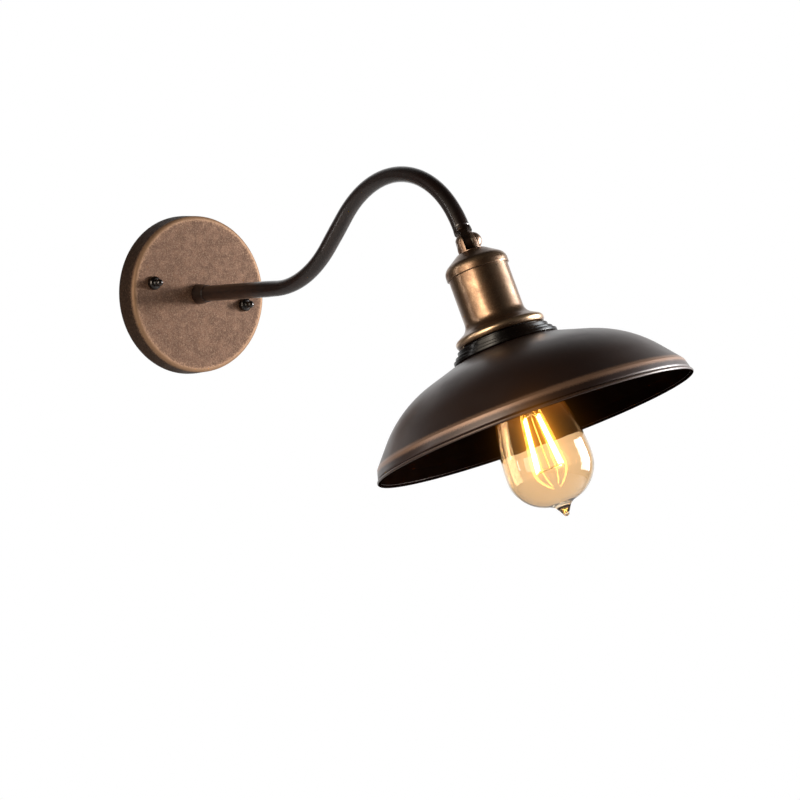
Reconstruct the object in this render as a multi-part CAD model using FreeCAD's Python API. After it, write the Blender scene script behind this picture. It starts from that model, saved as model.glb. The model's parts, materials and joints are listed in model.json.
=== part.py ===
"""Gooseneck wall sconce: canopy, S-curved arm, friction knuckle, spun shade and clear lamp.

Lengths are millimetres. The origin is the centre of the canopy's back, on the wall.
The wall is the plane y = 0, the lamp reaches towards -Y, and +Z is up.

Round pieces are drawn in a local frame whose +Z is their own axis, then placed:
  canopy frame   +Z points out of the wall, +X to the right, +Y up
  arm end frame  origin at the knuckle pivot, +Z up the tube, +X along the pivot
  head frame     origin at the knuckle pivot, +Z down the lamp, +X along the pivot
"""
import FreeCAD, Part
import math
import os

from FreeCAD import Vector

# ---- clearances -------------------------------------------------------------------------
thread_gap = 0.05          # between a male and a female thread, on the radius
running_gap = 0.05         # between a shaft and its bearing, on the radius
slip_gap = 0.1             # round a piece that is pushed through a hole
rest_gap = 0.3             # between curved faces that lie against each other

# ---- canopy against the wall ------------------------------------------------------------
canopy_radius = 60.0
canopy_depth = 18.0
canopy_wall = 1.2
canopy_rim = 2.0           # straight part of its side, against the wall
canopy_lean_radius = 10.0  # where the side starts to lean in
canopy_draft = 4.0         # how far its side leans in, in degrees
canopy_shoulder_radius = 3.0

# ---- mounting strap and the screws that hold the canopy ----------------------------------
strap_length = 104.0
strap_width = 20.0
strap_thickness = 1.5
strap_tilt = -9.6          # the strap's right end is lower, in degrees
strap_centre_hole_radius = 8.0
wall_hole_spacing = 60.0   # the usual pitch of a flush wall box
wall_hole_radius = 2.6
stud_spacing = 83.0
stud_radius = 2.0
stud_nut_flats = 7.0
stud_nut_height = 3.2
stud_hole_play = 0.3
stud_tip_gap = 1.0         # between a stud's tip and the bottom of its cap nut
earth_screw_place = 19.0   # along the strap, left of the middle
earth_screw_head_radius = 3.6
earth_screw_head_height = 2.4
earth_screw_slot_width = 0.8
earth_screw_slot_depth = 0.8
earth_screw_edge = 0.9

# ---- ball-tipped cap nuts ----------------------------------------------------------------
cap_nut_radius = 5.1
cap_nut_body = 4.2
cap_nut_edge = 2.6
cap_nut_collar_radius = 2.6
cap_nut_neck_radius = 1.9
cap_nut_neck = 1.4
cap_nut_ball_radius = 2.8
cap_nut_thread_depth = 4.6
cap_nut_ball_sink = 0.4     # how far the ball sits down on its neck

# ---- terminal block ----------------------------------------------------------------------
block_length = 14.0
block_width = 17.0
block_height = 9.0
block_start = 8.5          # along the strap, from the middle
block_screw_radius = 1.7
block_screw_height = 3.0
block_screw_sink = 1.0     # below the top of the block
block_screw_slot_width = 0.6
block_screw_slot_depth = 0.6
block_edge = 1.0

# ---- nipple that holds the arm -----------------------------------------------------------
nipple_radius = 5.0        # M10 pipe thread
nipple_bore_radius = 3.5
arm_nipple_in_tube = 12.0
arm_nipple_end = 12.0      # its inner end, from the wall
locknut_flats = 14.0
locknut_height = 3.0
nut_chamfer = 0.3          # where a hexagon nut's corners are rounded off
lock_washer_radius = 8.5
lock_washer_thickness = 0.8
washer_tooth_count = 12
washer_tooth_depth = 1.1

# ---- collar at the foot of the arm -------------------------------------------------------
collar_radius = 7.6
collar_foot = 1.8          # its straight foot, against the canopy
collar_floor = 1.5
collar_foot_radius = 6.0   # where its side starts to lean in
collar_draft = 9.0         # how far its side leans in, in degrees
collar_run = 6.0           # along the leaning side
collar_neck_radius = 10.0  # where the side turns back along the tube
collar_neck = 1.2          # its straight end, round the tube

# ---- gooseneck tube ----------------------------------------------------------------------
tube_radius = 6.0
tube_wall = 1.0
base_run = 100.0           # level run out of the collar
rise_radius = 88.1         # centreline radius of the upward bend
rise_angle = 45.9
rise_run = 28.2
hump_radius = 81.6         # centreline radius of the bend over the top
drop_angle = 57.9          # the tube's end points this far below level
drop_run = 4.0             # straight end of the tube

# ---- two-core lead -----------------------------------------------------------------------
lead_radius = 2.1
lead_bend_radius = 5.0     # where it turns towards the terminal block
core_radius = 0.9
core_spacing = 2.0         # between the middles of the two cores

# ---- swivel in the tube's end ------------------------------------------------------------
tongue_collar_start = 8.3  # distances up the tube, from the pivot
tongue_collar_height = 1.5
tongue_collar_radius = 6.1
bush_flange_thickness = 0.9
bush_length = 6.0
spigot_radius = 3.2
spigot_bore_radius = 2.4
swivel_nut_height = 2.6
swivel_nut_radius = 4.4
lead_end_in_spigot = 2.0   # how far the arm's lead reaches past the tube's end

# ---- knuckle -----------------------------------------------------------------------------
ball_radius = 8.0
tongue_thickness = 5.0
tongue_radius = 5.5
tongue_half_width = 5.0
friction_washer_thickness = 0.6
friction_washer_radius = 5.2
pivot_radius = 2.0         # M4 screw
pivot_head_radius = 5.6
pivot_head_height = 3.7
pivot_head_seat = 6.0      # from the middle of the knuckle
pivot_head_slot_width = 1.2
pivot_head_slot_depth = 1.0
pivot_nut_radius = 3.4
pivot_nut_thickness = 2.2
pivot_nut_seat = 4.9
lead_channel_radius = 1.2
lead_channel_offset = 3.7

# ---- how the head hangs ------------------------------------------------------------------
lean_out = 17.9            # degrees from straight down, away from the wall
lean_side = 11.5           # degrees from straight down, to the right

# ---- socket cap, distances down the head from the pivot ----------------------------------
cap_top = 6.3
cap_wall = 1.0
cap_spigot_radius = 6.0
cap_spigot_length = 5.7
cap_locknut_flats = 15.0
cap_locknut_height = 3.0
cap_flat_radius = 9.0
cap_throat_radius = 2.0           # rounding where the bell leaves its flat top
cap_slope_angle = 34.0
cap_slope_length = 10.0
cap_shoulder_radius = 7.0
cap_skirt = 2.6

# ---- socket cup --------------------------------------------------------------------------
cup_wall = 1.2
cup_in_cap = 3.0
cup_length = 33.4          # straight part, its hidden end included
cup_flare_radius = 8.0
cup_flare_angle = 61.0
cup_flare_run = 5.0
cup_bead_radius = 3.0
cup_bead_angle = 90.0
cup_lip = 1.6

# ---- stepped ring that seats the shade ---------------------------------------------------
ring_heights = (1.5, 3.2, 2.2, 2.2)
ring_insets = (8.0, 4.5, 2.0, 0.0)
ring_radius = 35.8

# ---- shade -------------------------------------------------------------------------------
shade_wall = 1.0
shade_flat_radius = 32.5
shade_throat_radius = 4.0
shade_crown_angle = 18.6
shade_crown_run = 26.5
shade_bend_radius = 81.0
shade_flank_angle = 50.6
shade_flank_run = 16.8
shade_ridge_radius = 2.0
shade_band_angle = 75.0
shade_band_run = 8.1
shade_bead_radius = 1.2

# ---- lampholder for an E27 lamp ----------------------------------------------------------
holder_start = 20.0
holder_hub = 6.0
holder_chamber_radius = 15.5
holder_chamber = 13.0
holder_floor = 3.0
holder_bore_radius = 14.6
holder_mouth = 42.0        # depth of the lamp's hole, from its floor
screw_shell_radius = 14.2
screw_shell_wall = 0.5
screw_shell_length = 32.0
screw_shell_start = 5.0
contact_rivet_radius = 2.0
contact_leaf_radius = 4.0
contact_leaf_height = 2.4
contact_edge = 0.8
terminal_size = 5.0
terminal_offset = 8.5
terminal_screw_radius = 1.5
terminal_screw_head = 1.2
head_nipple_in_holder = 5.0
ring_nut_radius = 22.0
ring_nut_flange_radius = 26.0
ring_nut_flange = 2.0
ring_nut_height = 7.0
ring_nut_grips = 12
ring_nut_grip_radius = 1.2

# ---- lamp --------------------------------------------------------------------------------
lamp_contact_radius = 4.8
lamp_contact_height = 2.0
lamp_contact_edge = 0.6
lamp_insulator_radius = 9.5
lamp_insulator_height = 3.0
lamp_cap_radius = 13.2
lamp_cap_wall = 0.4
lamp_thread_pitch = 3.6
lamp_thread_turns = 5
lamp_thread_depth = 0.6
lamp_cap_skirt = 5.0
glass_wall = 0.9
glass_neck = 6.0
glass_neck_bend_radius = 40.0
glass_slope_angle = 17.4
glass_slope_run = 30.5
glass_belly_radius = 125.0
glass_side_radius = 26.0
glass_side_angle = 60.0
glass_tip_radius = 27.0
glass_nipple_base = 5.4
glass_nipple_length = 6.6
glass_nipple_tip = 2.2
glass_nipple_sink = 0.45   # how far its base is melted into the bulb
stem_flare = 14.0
stem_rim = 1.5
stem_taper = 6.0
stem_shoulder_radius = 3.5
stem_rod_radius = 2.2
stem_length = 52.0
filament_count = 4
filament_radius = 0.9
filament_length = 36.0
filament_top_radius = 6.5
filament_bottom_radius = 11.5
filament_drop = 3.0        # from the end of the stem to the start of the filaments
filament_turn = 45.0       # where the first filament stands round the stem
support_radius = 0.4

# ---- lengths and places worked out from the values above ---------------------------------
X_AXIS = Vector(1, 0, 0)
Y_AXIS = Vector(0, 1, 0)
Z_AXIS = Vector(0, 0, 1)
OUT = Vector(0, -1, 0)
ZERO = Vector(0, 0, 0)
WIDE = 200.0               # longer than any cut needs to be

tube_bore_radius = tube_radius - tube_wall
tube_start = canopy_depth + collar_floor
bush_start = tongue_collar_start + tongue_collar_height + rest_gap
tube_end = bush_start + bush_flange_thickness
bush_end = tube_end + bush_length
swivel_nut_start = bush_end + rest_gap
spigot_end = swivel_nut_start + swivel_nut_height
slot_half_width = tongue_thickness / 2 + friction_washer_thickness + 2 * running_gap
slot_floor = tongue_radius + rest_gap
cap_spigot_end = cap_top + cap_spigot_length
hub_end = holder_start + holder_hub
chamber_end = hub_end + holder_chamber
lamp_floor = chamber_end + holder_floor
holder_end = lamp_floor + holder_mouth
lamp_start = lamp_floor + contact_leaf_height + rest_gap
lamp_cap_start = lamp_start + lamp_contact_height + lamp_insulator_height
lamp_cap_end = lamp_cap_start + lamp_thread_pitch * lamp_thread_turns + lamp_cap_skirt


# ---- drawing helpers ---------------------------------------------------------------------
def unit(vector):
    result = Vector(vector)
    result.normalize()
    return result


def frame(origin, x_direction, z_direction):
    """The placement of a local frame with these two directions."""
    z = unit(z_direction)
    y = unit(z.cross(x_direction))
    x = y.cross(z)
    matrix = FreeCAD.Matrix(
        x.x, y.x, z.x, origin.x,
        x.y, y.y, z.y, origin.y,
        x.z, y.z, z.z, origin.z,
        0, 0, 0, 1)
    return FreeCAD.Placement(matrix)


def disc(radius, start, end, inner=0.0):
    """A cylinder or a ring along local Z."""
    solid = Part.makeCylinder(radius, end - start, Vector(0, 0, start))
    if inner > 0:
        hole = Part.makeCylinder(inner, end - start + 2, Vector(0, 0, start - 1))
        solid = solid.cut(hole)
    return solid


def hexagon(flats, start, end, inner):
    """A hexagon nut along local Z."""
    corner = flats / 2 / math.cos(math.radians(30))
    points = []
    for i in range(7):
        angle = math.radians(60 * i)
        points.append(Vector(corner * math.cos(angle), corner * math.sin(angle), start))
    nut = Part.Face(Part.makePolygon(points)).extrude(Vector(0, 0, end - start))
    chamfer = Part.makeCone(
        flats / 2 + end - start, flats / 2 - nut_chamfer, end - start + nut_chamfer,
        Vector(0, 0, start))
    return nut.common(chamfer).cut(disc(inner, start - 1, end + 1))


def bar(radius, start, end):
    """A round bar between two points."""
    along = end - start
    return Part.makeCylinder(radius, along.Length, start, along)


def block(x0, x1, y0, y1, z0, z1):
    return Part.makeBox(x1 - x0, y1 - y0, z1 - z0, Vector(x0, y0, z0))


def fused(solids):
    result = solids[0]
    for other in solids[1:]:
        result = result.fuse(other)
    return result.removeSplitter()


class Outline:
    """A pen that draws a section in the plane of radius and distance along the axis.

    The heading is 0 degrees when it moves straight outwards and 90 when it moves along
    the axis. `side` moves every piece of the line sideways, to draw a wall's other face.
    """

    def __init__(self, radius, along, heading, side=0.0):
        self.side = side
        self.heading = heading
        self.r = radius
        self.z = along
        self.edges = []
        self.shown = self._shifted()

    def _shifted(self):
        angle = math.radians(self.heading)
        r = self.r - self.side * math.sin(angle)
        z = self.z + self.side * math.cos(angle)
        return Vector(r, 0, z)

    def go(self, length):
        angle = math.radians(self.heading)
        self.r += length * math.cos(angle)
        self.z += length * math.sin(angle)
        end = self._shifted()
        self.edges.append(Part.makeLine(self.shown, end))
        self.shown = end
        return self

    def turn(self, radius, degrees):
        """An arc; positive degrees turn the heading from outwards to along the axis."""
        middle = self._part_turn(radius, degrees / 2)
        end = self._part_turn(radius, degrees)
        self.r, self.z = end[0], end[1]
        self.heading += degrees
        self.edges.append(Part.Arc(self.shown, middle[2], end[2]).toShape())
        self.shown = end[2]
        return self

    def _part_turn(self, radius, degrees):
        signed = radius if degrees > 0 else -radius
        first = math.radians(self.heading)
        last = math.radians(self.heading + degrees)
        r = self.r + signed * (math.sin(last) - math.sin(first))
        z = self.z + signed * (math.cos(first) - math.cos(last))
        shifted = Vector(
            r - self.side * math.sin(last), 0, z + self.side * math.cos(last))
        return r, z, shifted


def turned(edges):
    """A solid from closed section edges, turned about local Z."""
    face = Part.Face(Part.Wire(Part.__sortEdges__(edges)))
    return face.revolve(ZERO, Z_AXIS, 360)


def turned_points(points):
    """A solid from a closed polygon of (radius, along) pairs."""
    corners = [Vector(r, 0, z) for r, z in points]
    return Part.Face(Part.makePolygon(corners + corners[:1])).revolve(ZERO, Z_AXIS, 360)


def turned_shell(draw, wall):
    """A wall of even thickness, whose outer face `draw` draws."""
    outer = draw(0.0)
    inner = draw(wall)
    first = Part.makeLine(outer.edges[0].firstVertex().Point, inner.edges[0].firstVertex().Point)
    last = Part.makeLine(outer.shown, inner.shown)
    return turned(outer.edges + inner.edges + [first, last])


class Route:
    """A path of straight runs and arcs in space that carries a round section along."""

    def __init__(self, start, direction):
        self.point = Vector(start)
        self.direction = unit(direction)
        self.runs = []

    def go(self, length):
        self.runs.append(("run", Vector(self.point), Vector(self.direction), length))
        self.point = self.point + self.direction * length
        return self

    def bend(self, radius, degrees, axis):
        """An arc that turns the direction about `axis` by the right-hand rule."""
        centre = self.point + axis.cross(self.direction) * radius
        self.runs.append(
            ("arc", Vector(self.point), Vector(self.direction), centre, axis, degrees))
        turn = FreeCAD.Rotation(axis, degrees)
        self.point = centre + turn.multVec(self.point - centre)
        self.direction = turn.multVec(self.direction)
        return self

    def sweep(self, radius, inner=0.0):
        pieces = []
        for run in self.runs:
            edge = Part.makeCircle(radius, run[1], run[2])
            face = Part.Face(Part.Wire(edge))
            if inner > 0:
                hole = Part.Face(Part.Wire(Part.makeCircle(inner, run[1], run[2])))
                face = face.cut(hole).Faces[0]
            if run[0] == "run":
                pieces.append(face.extrude(run[2] * run[3]))
            else:
                pieces.append(face.revolve(run[3], run[4], run[5]))
        return fused(pieces)


# ---- where things are --------------------------------------------------------------------
canopy_frame = frame(ZERO, X_AXIS, OUT)
strap_turn = FreeCAD.Placement(ZERO, FreeCAD.Rotation(Z_AXIS, strap_tilt))
strap_frame = canopy_frame.multiply(strap_turn)


def draw_arm(route):
    """The gooseneck's own bends, from the end of its foot to its tip."""
    route.go(base_run)
    route.bend(rise_radius, rise_angle, -X_AXIS)
    route.go(rise_run)
    route.bend(hump_radius, rise_angle + drop_angle, X_AXIS)
    return route.go(drop_run)


arm_route = draw_arm(Route(OUT * tube_start, OUT))
tube_direction = arm_route.direction
pivot = arm_route.point + tube_direction * tube_end
head_direction = unit(Vector(
    math.tan(math.radians(lean_side)), -math.tan(math.radians(lean_out)), -1))
pivot_direction = unit(tube_direction.cross(head_direction))
arm_end_frame = frame(pivot, pivot_direction, -tube_direction)
head_frame = frame(pivot, pivot_direction, head_direction)


# ---- canopy, strap and fasteners ---------------------------------------------------------
def stud_places():
    return [Vector(side * stud_spacing / 2, 0, 0) for side in (-1, 1)]


def at_studs(solid):
    copies = []
    for place in stud_places():
        copy = solid.copy()
        copy.translate(place)
        copies.append(copy)
    return Part.Compound(copies)


def make_wall_canopy():
    def draw(side):
        lean = math.radians(canopy_draft)
        pen = Outline(canopy_radius, 0, 90, side)
        pen.go(canopy_rim).turn(canopy_lean_radius, canopy_draft)
        rounded = canopy_shoulder_radius * (1 - math.sin(lean))
        pen.go((canopy_depth - rounded - pen.z) / math.cos(lean))
        pen.turn(canopy_shoulder_radius, 90 - canopy_draft)
        return pen.go(pen.r - nipple_radius - slip_gap)

    canopy = turned_shell(draw, canopy_wall)
    holes = at_studs(disc(stud_radius + stud_hole_play, 0, canopy_depth + 1))
    holes.Placement = strap_turn
    return canopy.cut(holes).Solids[0], canopy_frame


def make_mounting_strap():
    half = strap_width / 2
    reach = strap_length / 2 - half
    strap = block(-reach, reach, -half, half, 0, strap_thickness)
    for side in (-1, 1):
        end = disc(half, 0, strap_thickness)
        end.translate(Vector(side * reach, 0, 0))
        strap = strap.fuse(end)
    strap = strap.removeSplitter()
    strap = strap.cut(disc(strap_centre_hole_radius, -1, strap_thickness + 1))
    drilled = (
        (stud_spacing / 2, stud_radius),
        (-stud_spacing / 2, stud_radius),
        (wall_hole_spacing / 2, wall_hole_radius),
        (-wall_hole_spacing / 2, wall_hole_radius),
        (-earth_screw_place, stud_radius))
    for place, radius in drilled:
        hole = disc(radius, -1, strap_thickness + 1)
        hole.translate(Vector(place, 0, 0))
        strap = strap.cut(hole)
    return strap, strap_frame


def make_canopy_studs():
    end = canopy_depth + cap_nut_thread_depth - stud_tip_gap
    return at_studs(disc(stud_radius - thread_gap, 0, end)), strap_frame


def make_stud_nuts():
    top = strap_thickness + stud_nut_height
    return at_studs(hexagon(stud_nut_flats, strap_thickness, top, stud_radius)), strap_frame


def make_cap_nuts():
    start = canopy_depth
    body_end = start + cap_nut_body
    neck_end = body_end + cap_nut_neck
    pen = Outline(0, start, 0)
    pen.go(cap_nut_radius)
    pen.heading = 90
    pen.go(cap_nut_body - cap_nut_edge)
    pen.turn(cap_nut_edge, 90)
    pen.go(cap_nut_radius - cap_nut_edge)
    closing = Part.makeLine(pen.shown, Vector(0, 0, start))
    body = turned(pen.edges + [closing])
    cone = Part.makeCone(
        cap_nut_collar_radius, cap_nut_neck_radius, cap_nut_neck, Vector(0, 0, body_end))
    ball_centre = Vector(0, 0, neck_end + cap_nut_ball_radius - cap_nut_ball_sink)
    ball = Part.makeSphere(cap_nut_ball_radius, ball_centre)
    nut = fused([body, cone, ball])
    thread = disc(stud_radius, start - 1, start + cap_nut_thread_depth)
    return at_studs(nut.cut(thread)), strap_frame


def make_earth_screw():
    seat = strap_thickness
    top = seat + earth_screw_head_height
    head = disc(earth_screw_head_radius, seat, top)
    rim = [edge for edge in head.Edges if edge.BoundBox.ZMin > seat + earth_screw_edge]
    head = head.makeFillet(earth_screw_edge, rim)
    shank = disc(stud_radius - thread_gap, 0, seat)
    slot = earth_screw_slot_width / 2
    cut = block(-WIDE, WIDE, -slot, slot, top - earth_screw_slot_depth, top + 1)
    screw = fused([head, shank]).cut(cut)
    screw.translate(Vector(-earth_screw_place, 0, 0))
    return screw, strap_frame


def block_screw_places():
    places = []
    for row in (-1, 1):
        for column in (1, 3):
            places.append(Vector(
                block_start + block_length * column / 4, row * block_width / 4, 0))
    return places


def make_terminal_block():
    start = strap_thickness
    body = block(
        block_start, block_start + block_length,
        -block_width / 2, block_width / 2, start, start + block_height)
    upright = [edge for edge in body.Edges if abs(edge.tangentAt(edge.FirstParameter).z) > 0.9]
    body = body.makeFillet(block_edge, upright)
    for place in block_screw_places():
        pocket = disc(
            block_screw_radius + running_gap,
            start + block_height - block_screw_sink - block_screw_height,
            start + block_height + 1)
        pocket.translate(place)
        body = body.cut(pocket)
    return body, strap_frame


def make_terminal_screws():
    top = strap_thickness + block_height - block_screw_sink
    bottom = top - block_screw_height
    slot = block_screw_slot_width / 2
    screws = []
    for place in block_screw_places():
        screw = disc(block_screw_radius, bottom, top)
        screw = screw.cut(block(
            -WIDE, WIDE, -slot, slot, top - block_screw_slot_depth, top + 1))
        screw.translate(place)
        screws.append(screw)
    return Part.Compound(screws), strap_frame


# ---- arm ---------------------------------------------------------------------------------
def make_arm_nipple():
    end = tube_start + arm_nipple_in_tube
    outer = nipple_radius - thread_gap
    return disc(outer, arm_nipple_end, end, nipple_bore_radius), canopy_frame


def make_lock_washer():
    top = canopy_depth - canopy_wall
    bottom = top - lock_washer_thickness
    washer = disc(lock_washer_radius, bottom, top, nipple_radius + slip_gap)
    for i in range(washer_tooth_count):
        notch = disc(washer_tooth_depth, bottom - 1, top + 1)
        notch.translate(Vector(lock_washer_radius, 0, 0))
        notch.rotate(ZERO, Z_AXIS, i * 360 / washer_tooth_count)
        washer = washer.cut(notch)
    return washer, canopy_frame


def make_arm_locknut():
    top = canopy_depth - canopy_wall - lock_washer_thickness
    nut = hexagon(locknut_flats, -locknut_height, 0, nipple_radius)
    nut.translate(Vector(0, 0, top))
    return nut, canopy_frame


def make_base_collar():
    bottom = canopy_depth
    pen = Outline(0, bottom, 0)
    pen.go(collar_radius)
    pen.heading = 90
    pen.go(collar_foot).turn(collar_foot_radius, collar_draft)
    pen.go(collar_run).turn(collar_neck_radius, -collar_draft).go(collar_neck)
    top = pen.z
    closing = [
        Part.makeLine(pen.shown, Vector(0, 0, top)),
        Part.makeLine(Vector(0, 0, top), Vector(0, 0, bottom))]
    collar = turned(pen.edges + closing)
    collar = collar.cut(disc(nipple_radius + slip_gap, bottom - 1, top + 1))
    return collar.cut(disc(tube_radius + slip_gap, tube_start, top + 1)), canopy_frame


def make_gooseneck_tube():
    return arm_route.sweep(tube_radius, tube_bore_radius), FreeCAD.Placement()


def make_arm_lead():
    """From the terminal block, through the nipple and the tube, into the swivel."""
    along_strap = strap_frame.Rotation.multVec(X_AXIS)
    bend_level = strap_thickness + block_height / 2
    entry = OUT * bend_level + along_strap * block_start
    run_in = block_start - lead_bend_radius
    bend_axis = unit((-along_strap).cross(OUT))
    route = Route(entry, -along_strap)
    route.go(run_in)
    route.bend(lead_bend_radius, 90, bend_axis)
    route.go(tube_start - bend_level - lead_bend_radius)
    draw_arm(route)
    route.go(lead_end_in_spigot)
    return route.sweep(lead_radius), FreeCAD.Placement()


# ---- swivel and knuckle ------------------------------------------------------------------
def make_swivel_bush():
    flange = disc(tube_radius, bush_start, tube_end)
    plug = disc(tube_bore_radius - thread_gap, tube_end, bush_end)
    bore = disc(spigot_radius + running_gap, bush_start - 1, bush_end + 1)
    return fused([flange, plug]).cut(bore), arm_end_frame


def make_knuckle_tongue():
    half = tongue_thickness / 2
    collar_end = tongue_collar_start + tongue_collar_height
    eye = Part.makeCylinder(tongue_radius, tongue_thickness, Vector(-half, 0, 0), X_AXIS)
    blade = block(-half, half, -tongue_half_width, tongue_half_width, 0, tongue_collar_start)
    collar = disc(tongue_collar_radius, tongue_collar_start, collar_end)
    spigot = disc(spigot_radius, collar_end, spigot_end)
    tongue = fused([eye, blade, collar, spigot])
    tongue = tongue.cut(disc(spigot_bore_radius, tongue_collar_start, spigot_end + 1))
    pin_hole = Part.makeCylinder(
        pivot_radius, tongue_thickness + 2, Vector(-half - 1, 0, 0), X_AXIS)
    channel = disc(lead_channel_radius, -ball_radius, tongue_collar_start + 1)
    channel.translate(Vector(0, lead_channel_offset, 0))
    return tongue.cut(pin_hole).cut(channel), arm_end_frame


def make_swivel_nut():
    ring = disc(
        swivel_nut_radius, swivel_nut_start, spigot_end, spigot_radius + thread_gap)
    return ring, arm_end_frame


def across(radius, start, end, inner=0.0):
    """A cylinder or ring along the pivot, local X."""
    solid = disc(radius, start, end, inner)
    solid.rotate(ZERO, Y_AXIS, 90)
    return solid


def make_friction_washers():
    start = tongue_thickness / 2 + running_gap
    end = start + friction_washer_thickness
    inner = pivot_radius + running_gap
    pair = [
        across(friction_washer_radius, start, end, inner),
        across(friction_washer_radius, -end, -start, inner)]
    return Part.Compound(pair), head_frame


def make_knuckle_fork():
    ball = Part.makeSphere(ball_radius)
    barrel = disc(ball_radius, 0, cap_top)
    spigot = disc(cap_spigot_radius, cap_top, cap_spigot_end)
    fork = fused([ball.common(disc(ball_radius + 1, -ball_radius - 1, 0)), barrel, spigot])
    fork = fork.cut(block(
        -slot_half_width, slot_half_width, -WIDE, WIDE, -ball_radius - 1, slot_floor))
    fork = fork.cut(disc(nipple_radius, slot_floor, cap_spigot_end + 1))
    fork = fork.cut(block(
        pivot_head_seat, WIDE, -WIDE, WIDE, -ball_radius - 1, pivot_head_radius))
    fork = fork.cut(across(pivot_radius, -WIDE, WIDE))
    pocket = across(pivot_nut_radius + slip_gap, -WIDE, -pivot_nut_seat)
    return fork.cut(pocket).Solids[0], head_frame


def make_pivot_screw():
    height = pivot_head_height
    sphere_radius = (pivot_head_radius ** 2 + height ** 2) / (2 * height)
    top = pivot_head_seat + height
    sphere = Part.makeSphere(sphere_radius, Vector(0, 0, top - sphere_radius))
    head = sphere.common(disc(pivot_head_radius + 1, pivot_head_seat, top + 1))
    half_slot = pivot_head_slot_width / 2
    slot = block(-WIDE, WIDE, -half_slot, half_slot, top - pivot_head_slot_depth, top + 1)
    end = pivot_nut_seat + pivot_nut_thickness - thread_gap
    shank = disc(pivot_radius - running_gap, -end, pivot_head_seat)
    screw = fused([head, shank]).cut(slot)
    screw.rotate(ZERO, Y_AXIS, 90)
    return screw, head_frame


def make_pivot_nut():
    outer = pivot_nut_seat + pivot_nut_thickness
    nut = across(pivot_nut_radius, -outer, -pivot_nut_seat, pivot_radius)
    half_slot = pivot_head_slot_width / 2
    slot = block(
        -outer - 1, -outer + pivot_head_slot_depth, -half_slot, half_slot, -WIDE, WIDE)
    return nut.cut(slot), head_frame


# ---- socket cap, cup and lampholder ------------------------------------------------------
def draw_cap(side):
    start = cap_spigot_radius + slip_gap
    pen = Outline(start, cap_top, 0, side)
    pen.go(cap_flat_radius - start).turn(cap_throat_radius, cap_slope_angle)
    pen.go(cap_slope_length).turn(cap_shoulder_radius, 90 - cap_slope_angle)
    return pen.go(cap_skirt)


def make_socket_cap():
    return turned_shell(draw_cap, cap_wall), head_frame


def make_cap_locknut():
    start = cap_top + cap_wall
    nut = hexagon(cap_locknut_flats, start, start + cap_locknut_height, cap_spigot_radius + thread_gap)
    return nut, head_frame


cap_rim = draw_cap(0.0)
cup_radius = cap_rim.r - cap_wall - slip_gap
holder_radius = cup_radius - cup_wall - rest_gap
cup_start = cap_rim.z - cup_in_cap


def draw_cup(side):
    pen = Outline(cup_radius, cup_start, 90, side)
    pen.go(cup_length).turn(cup_flare_radius, -cup_flare_angle)
    pen.go(cup_flare_run).turn(cup_bead_radius, cup_bead_angle)
    return pen.go(cup_lip)


def make_socket_cup():
    return turned_shell(draw_cup, cup_wall), head_frame


cup_end = max(draw_cup(0.0).z, draw_cup(cup_wall).shown.z)


def make_head_nipple():
    start = cap_top + rest_gap
    end = holder_start + head_nipple_in_holder
    return disc(nipple_radius - thread_gap, start, end, nipple_bore_radius), head_frame


def make_lampholder():
    body = disc(holder_radius, holder_start, holder_end)
    body = body.cut(disc(nipple_radius, holder_start - 1, hub_end + 1))
    body = body.cut(disc(holder_chamber_radius, hub_end, chamber_end))
    body = body.cut(disc(contact_rivet_radius, chamber_end - 1, lamp_floor + 1))
    return body.cut(disc(holder_bore_radius, lamp_floor, holder_end + 1)), head_frame


def make_screw_shell():
    start = lamp_floor + screw_shell_start
    inner = screw_shell_radius - screw_shell_wall
    shell = disc(screw_shell_radius, start, start + screw_shell_length, inner)
    lug = disc(
        holder_bore_radius - running_gap, start, start + 2 * screw_shell_wall,
        screw_shell_radius - screw_shell_wall)
    return fused([shell, lug]), head_frame


def make_centre_contact():
    leaf = disc(contact_leaf_radius, lamp_floor, lamp_floor + contact_leaf_height)
    rim = [edge for edge in leaf.Edges if edge.BoundBox.ZMin > lamp_floor + contact_edge]
    leaf = leaf.makeFillet(contact_edge, rim)
    rivet = disc(contact_rivet_radius, chamber_end, lamp_floor)
    return fused([leaf, rivet]), head_frame


def terminal_places():
    return [Vector(0, side * terminal_offset, 0) for side in (-1, 1)]


def make_holder_terminals():
    half = terminal_size / 2
    bottom = chamber_end - terminal_size
    pieces = []
    for place in terminal_places():
        body = block(-half, half, -half, half, bottom, chamber_end)
        screw = bar(terminal_screw_radius, Vector(-half, 0, bottom + half),
                    Vector(-half - terminal_screw_head, 0, bottom + half))
        terminal = fused([body, screw])
        terminal.translate(place)
        pieces.append(terminal)
    return Part.Compound(pieces), head_frame


def make_head_lead():
    """A sheath through the nipple, then one core to each terminal."""
    sheath_end = hub_end
    terminal_top = chamber_end - terminal_size
    pieces = [disc(lead_radius, cap_top + rest_gap, sheath_end)]
    sideways = terminal_offset - core_spacing / 2
    drop = terminal_top - sheath_end
    reach = math.hypot(sideways, drop)
    lean = 2 * math.atan2(sideways, drop)
    bend = reach / (4 * math.sin(lean / 2))
    for side in (-1, 1):
        route = Route(Vector(0, side * core_spacing / 2, sheath_end), Z_AXIS)
        route.bend(bend, math.degrees(lean), -X_AXIS * side)
        route.bend(bend, math.degrees(lean), X_AXIS * side)
        pieces.append(route.sweep(core_radius))
    return Part.Compound(pieces), head_frame


# ---- shade and its rings -----------------------------------------------------------------
shade_top = cup_end + sum(ring_heights)
shade_hole_radius = holder_radius + rest_gap


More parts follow.
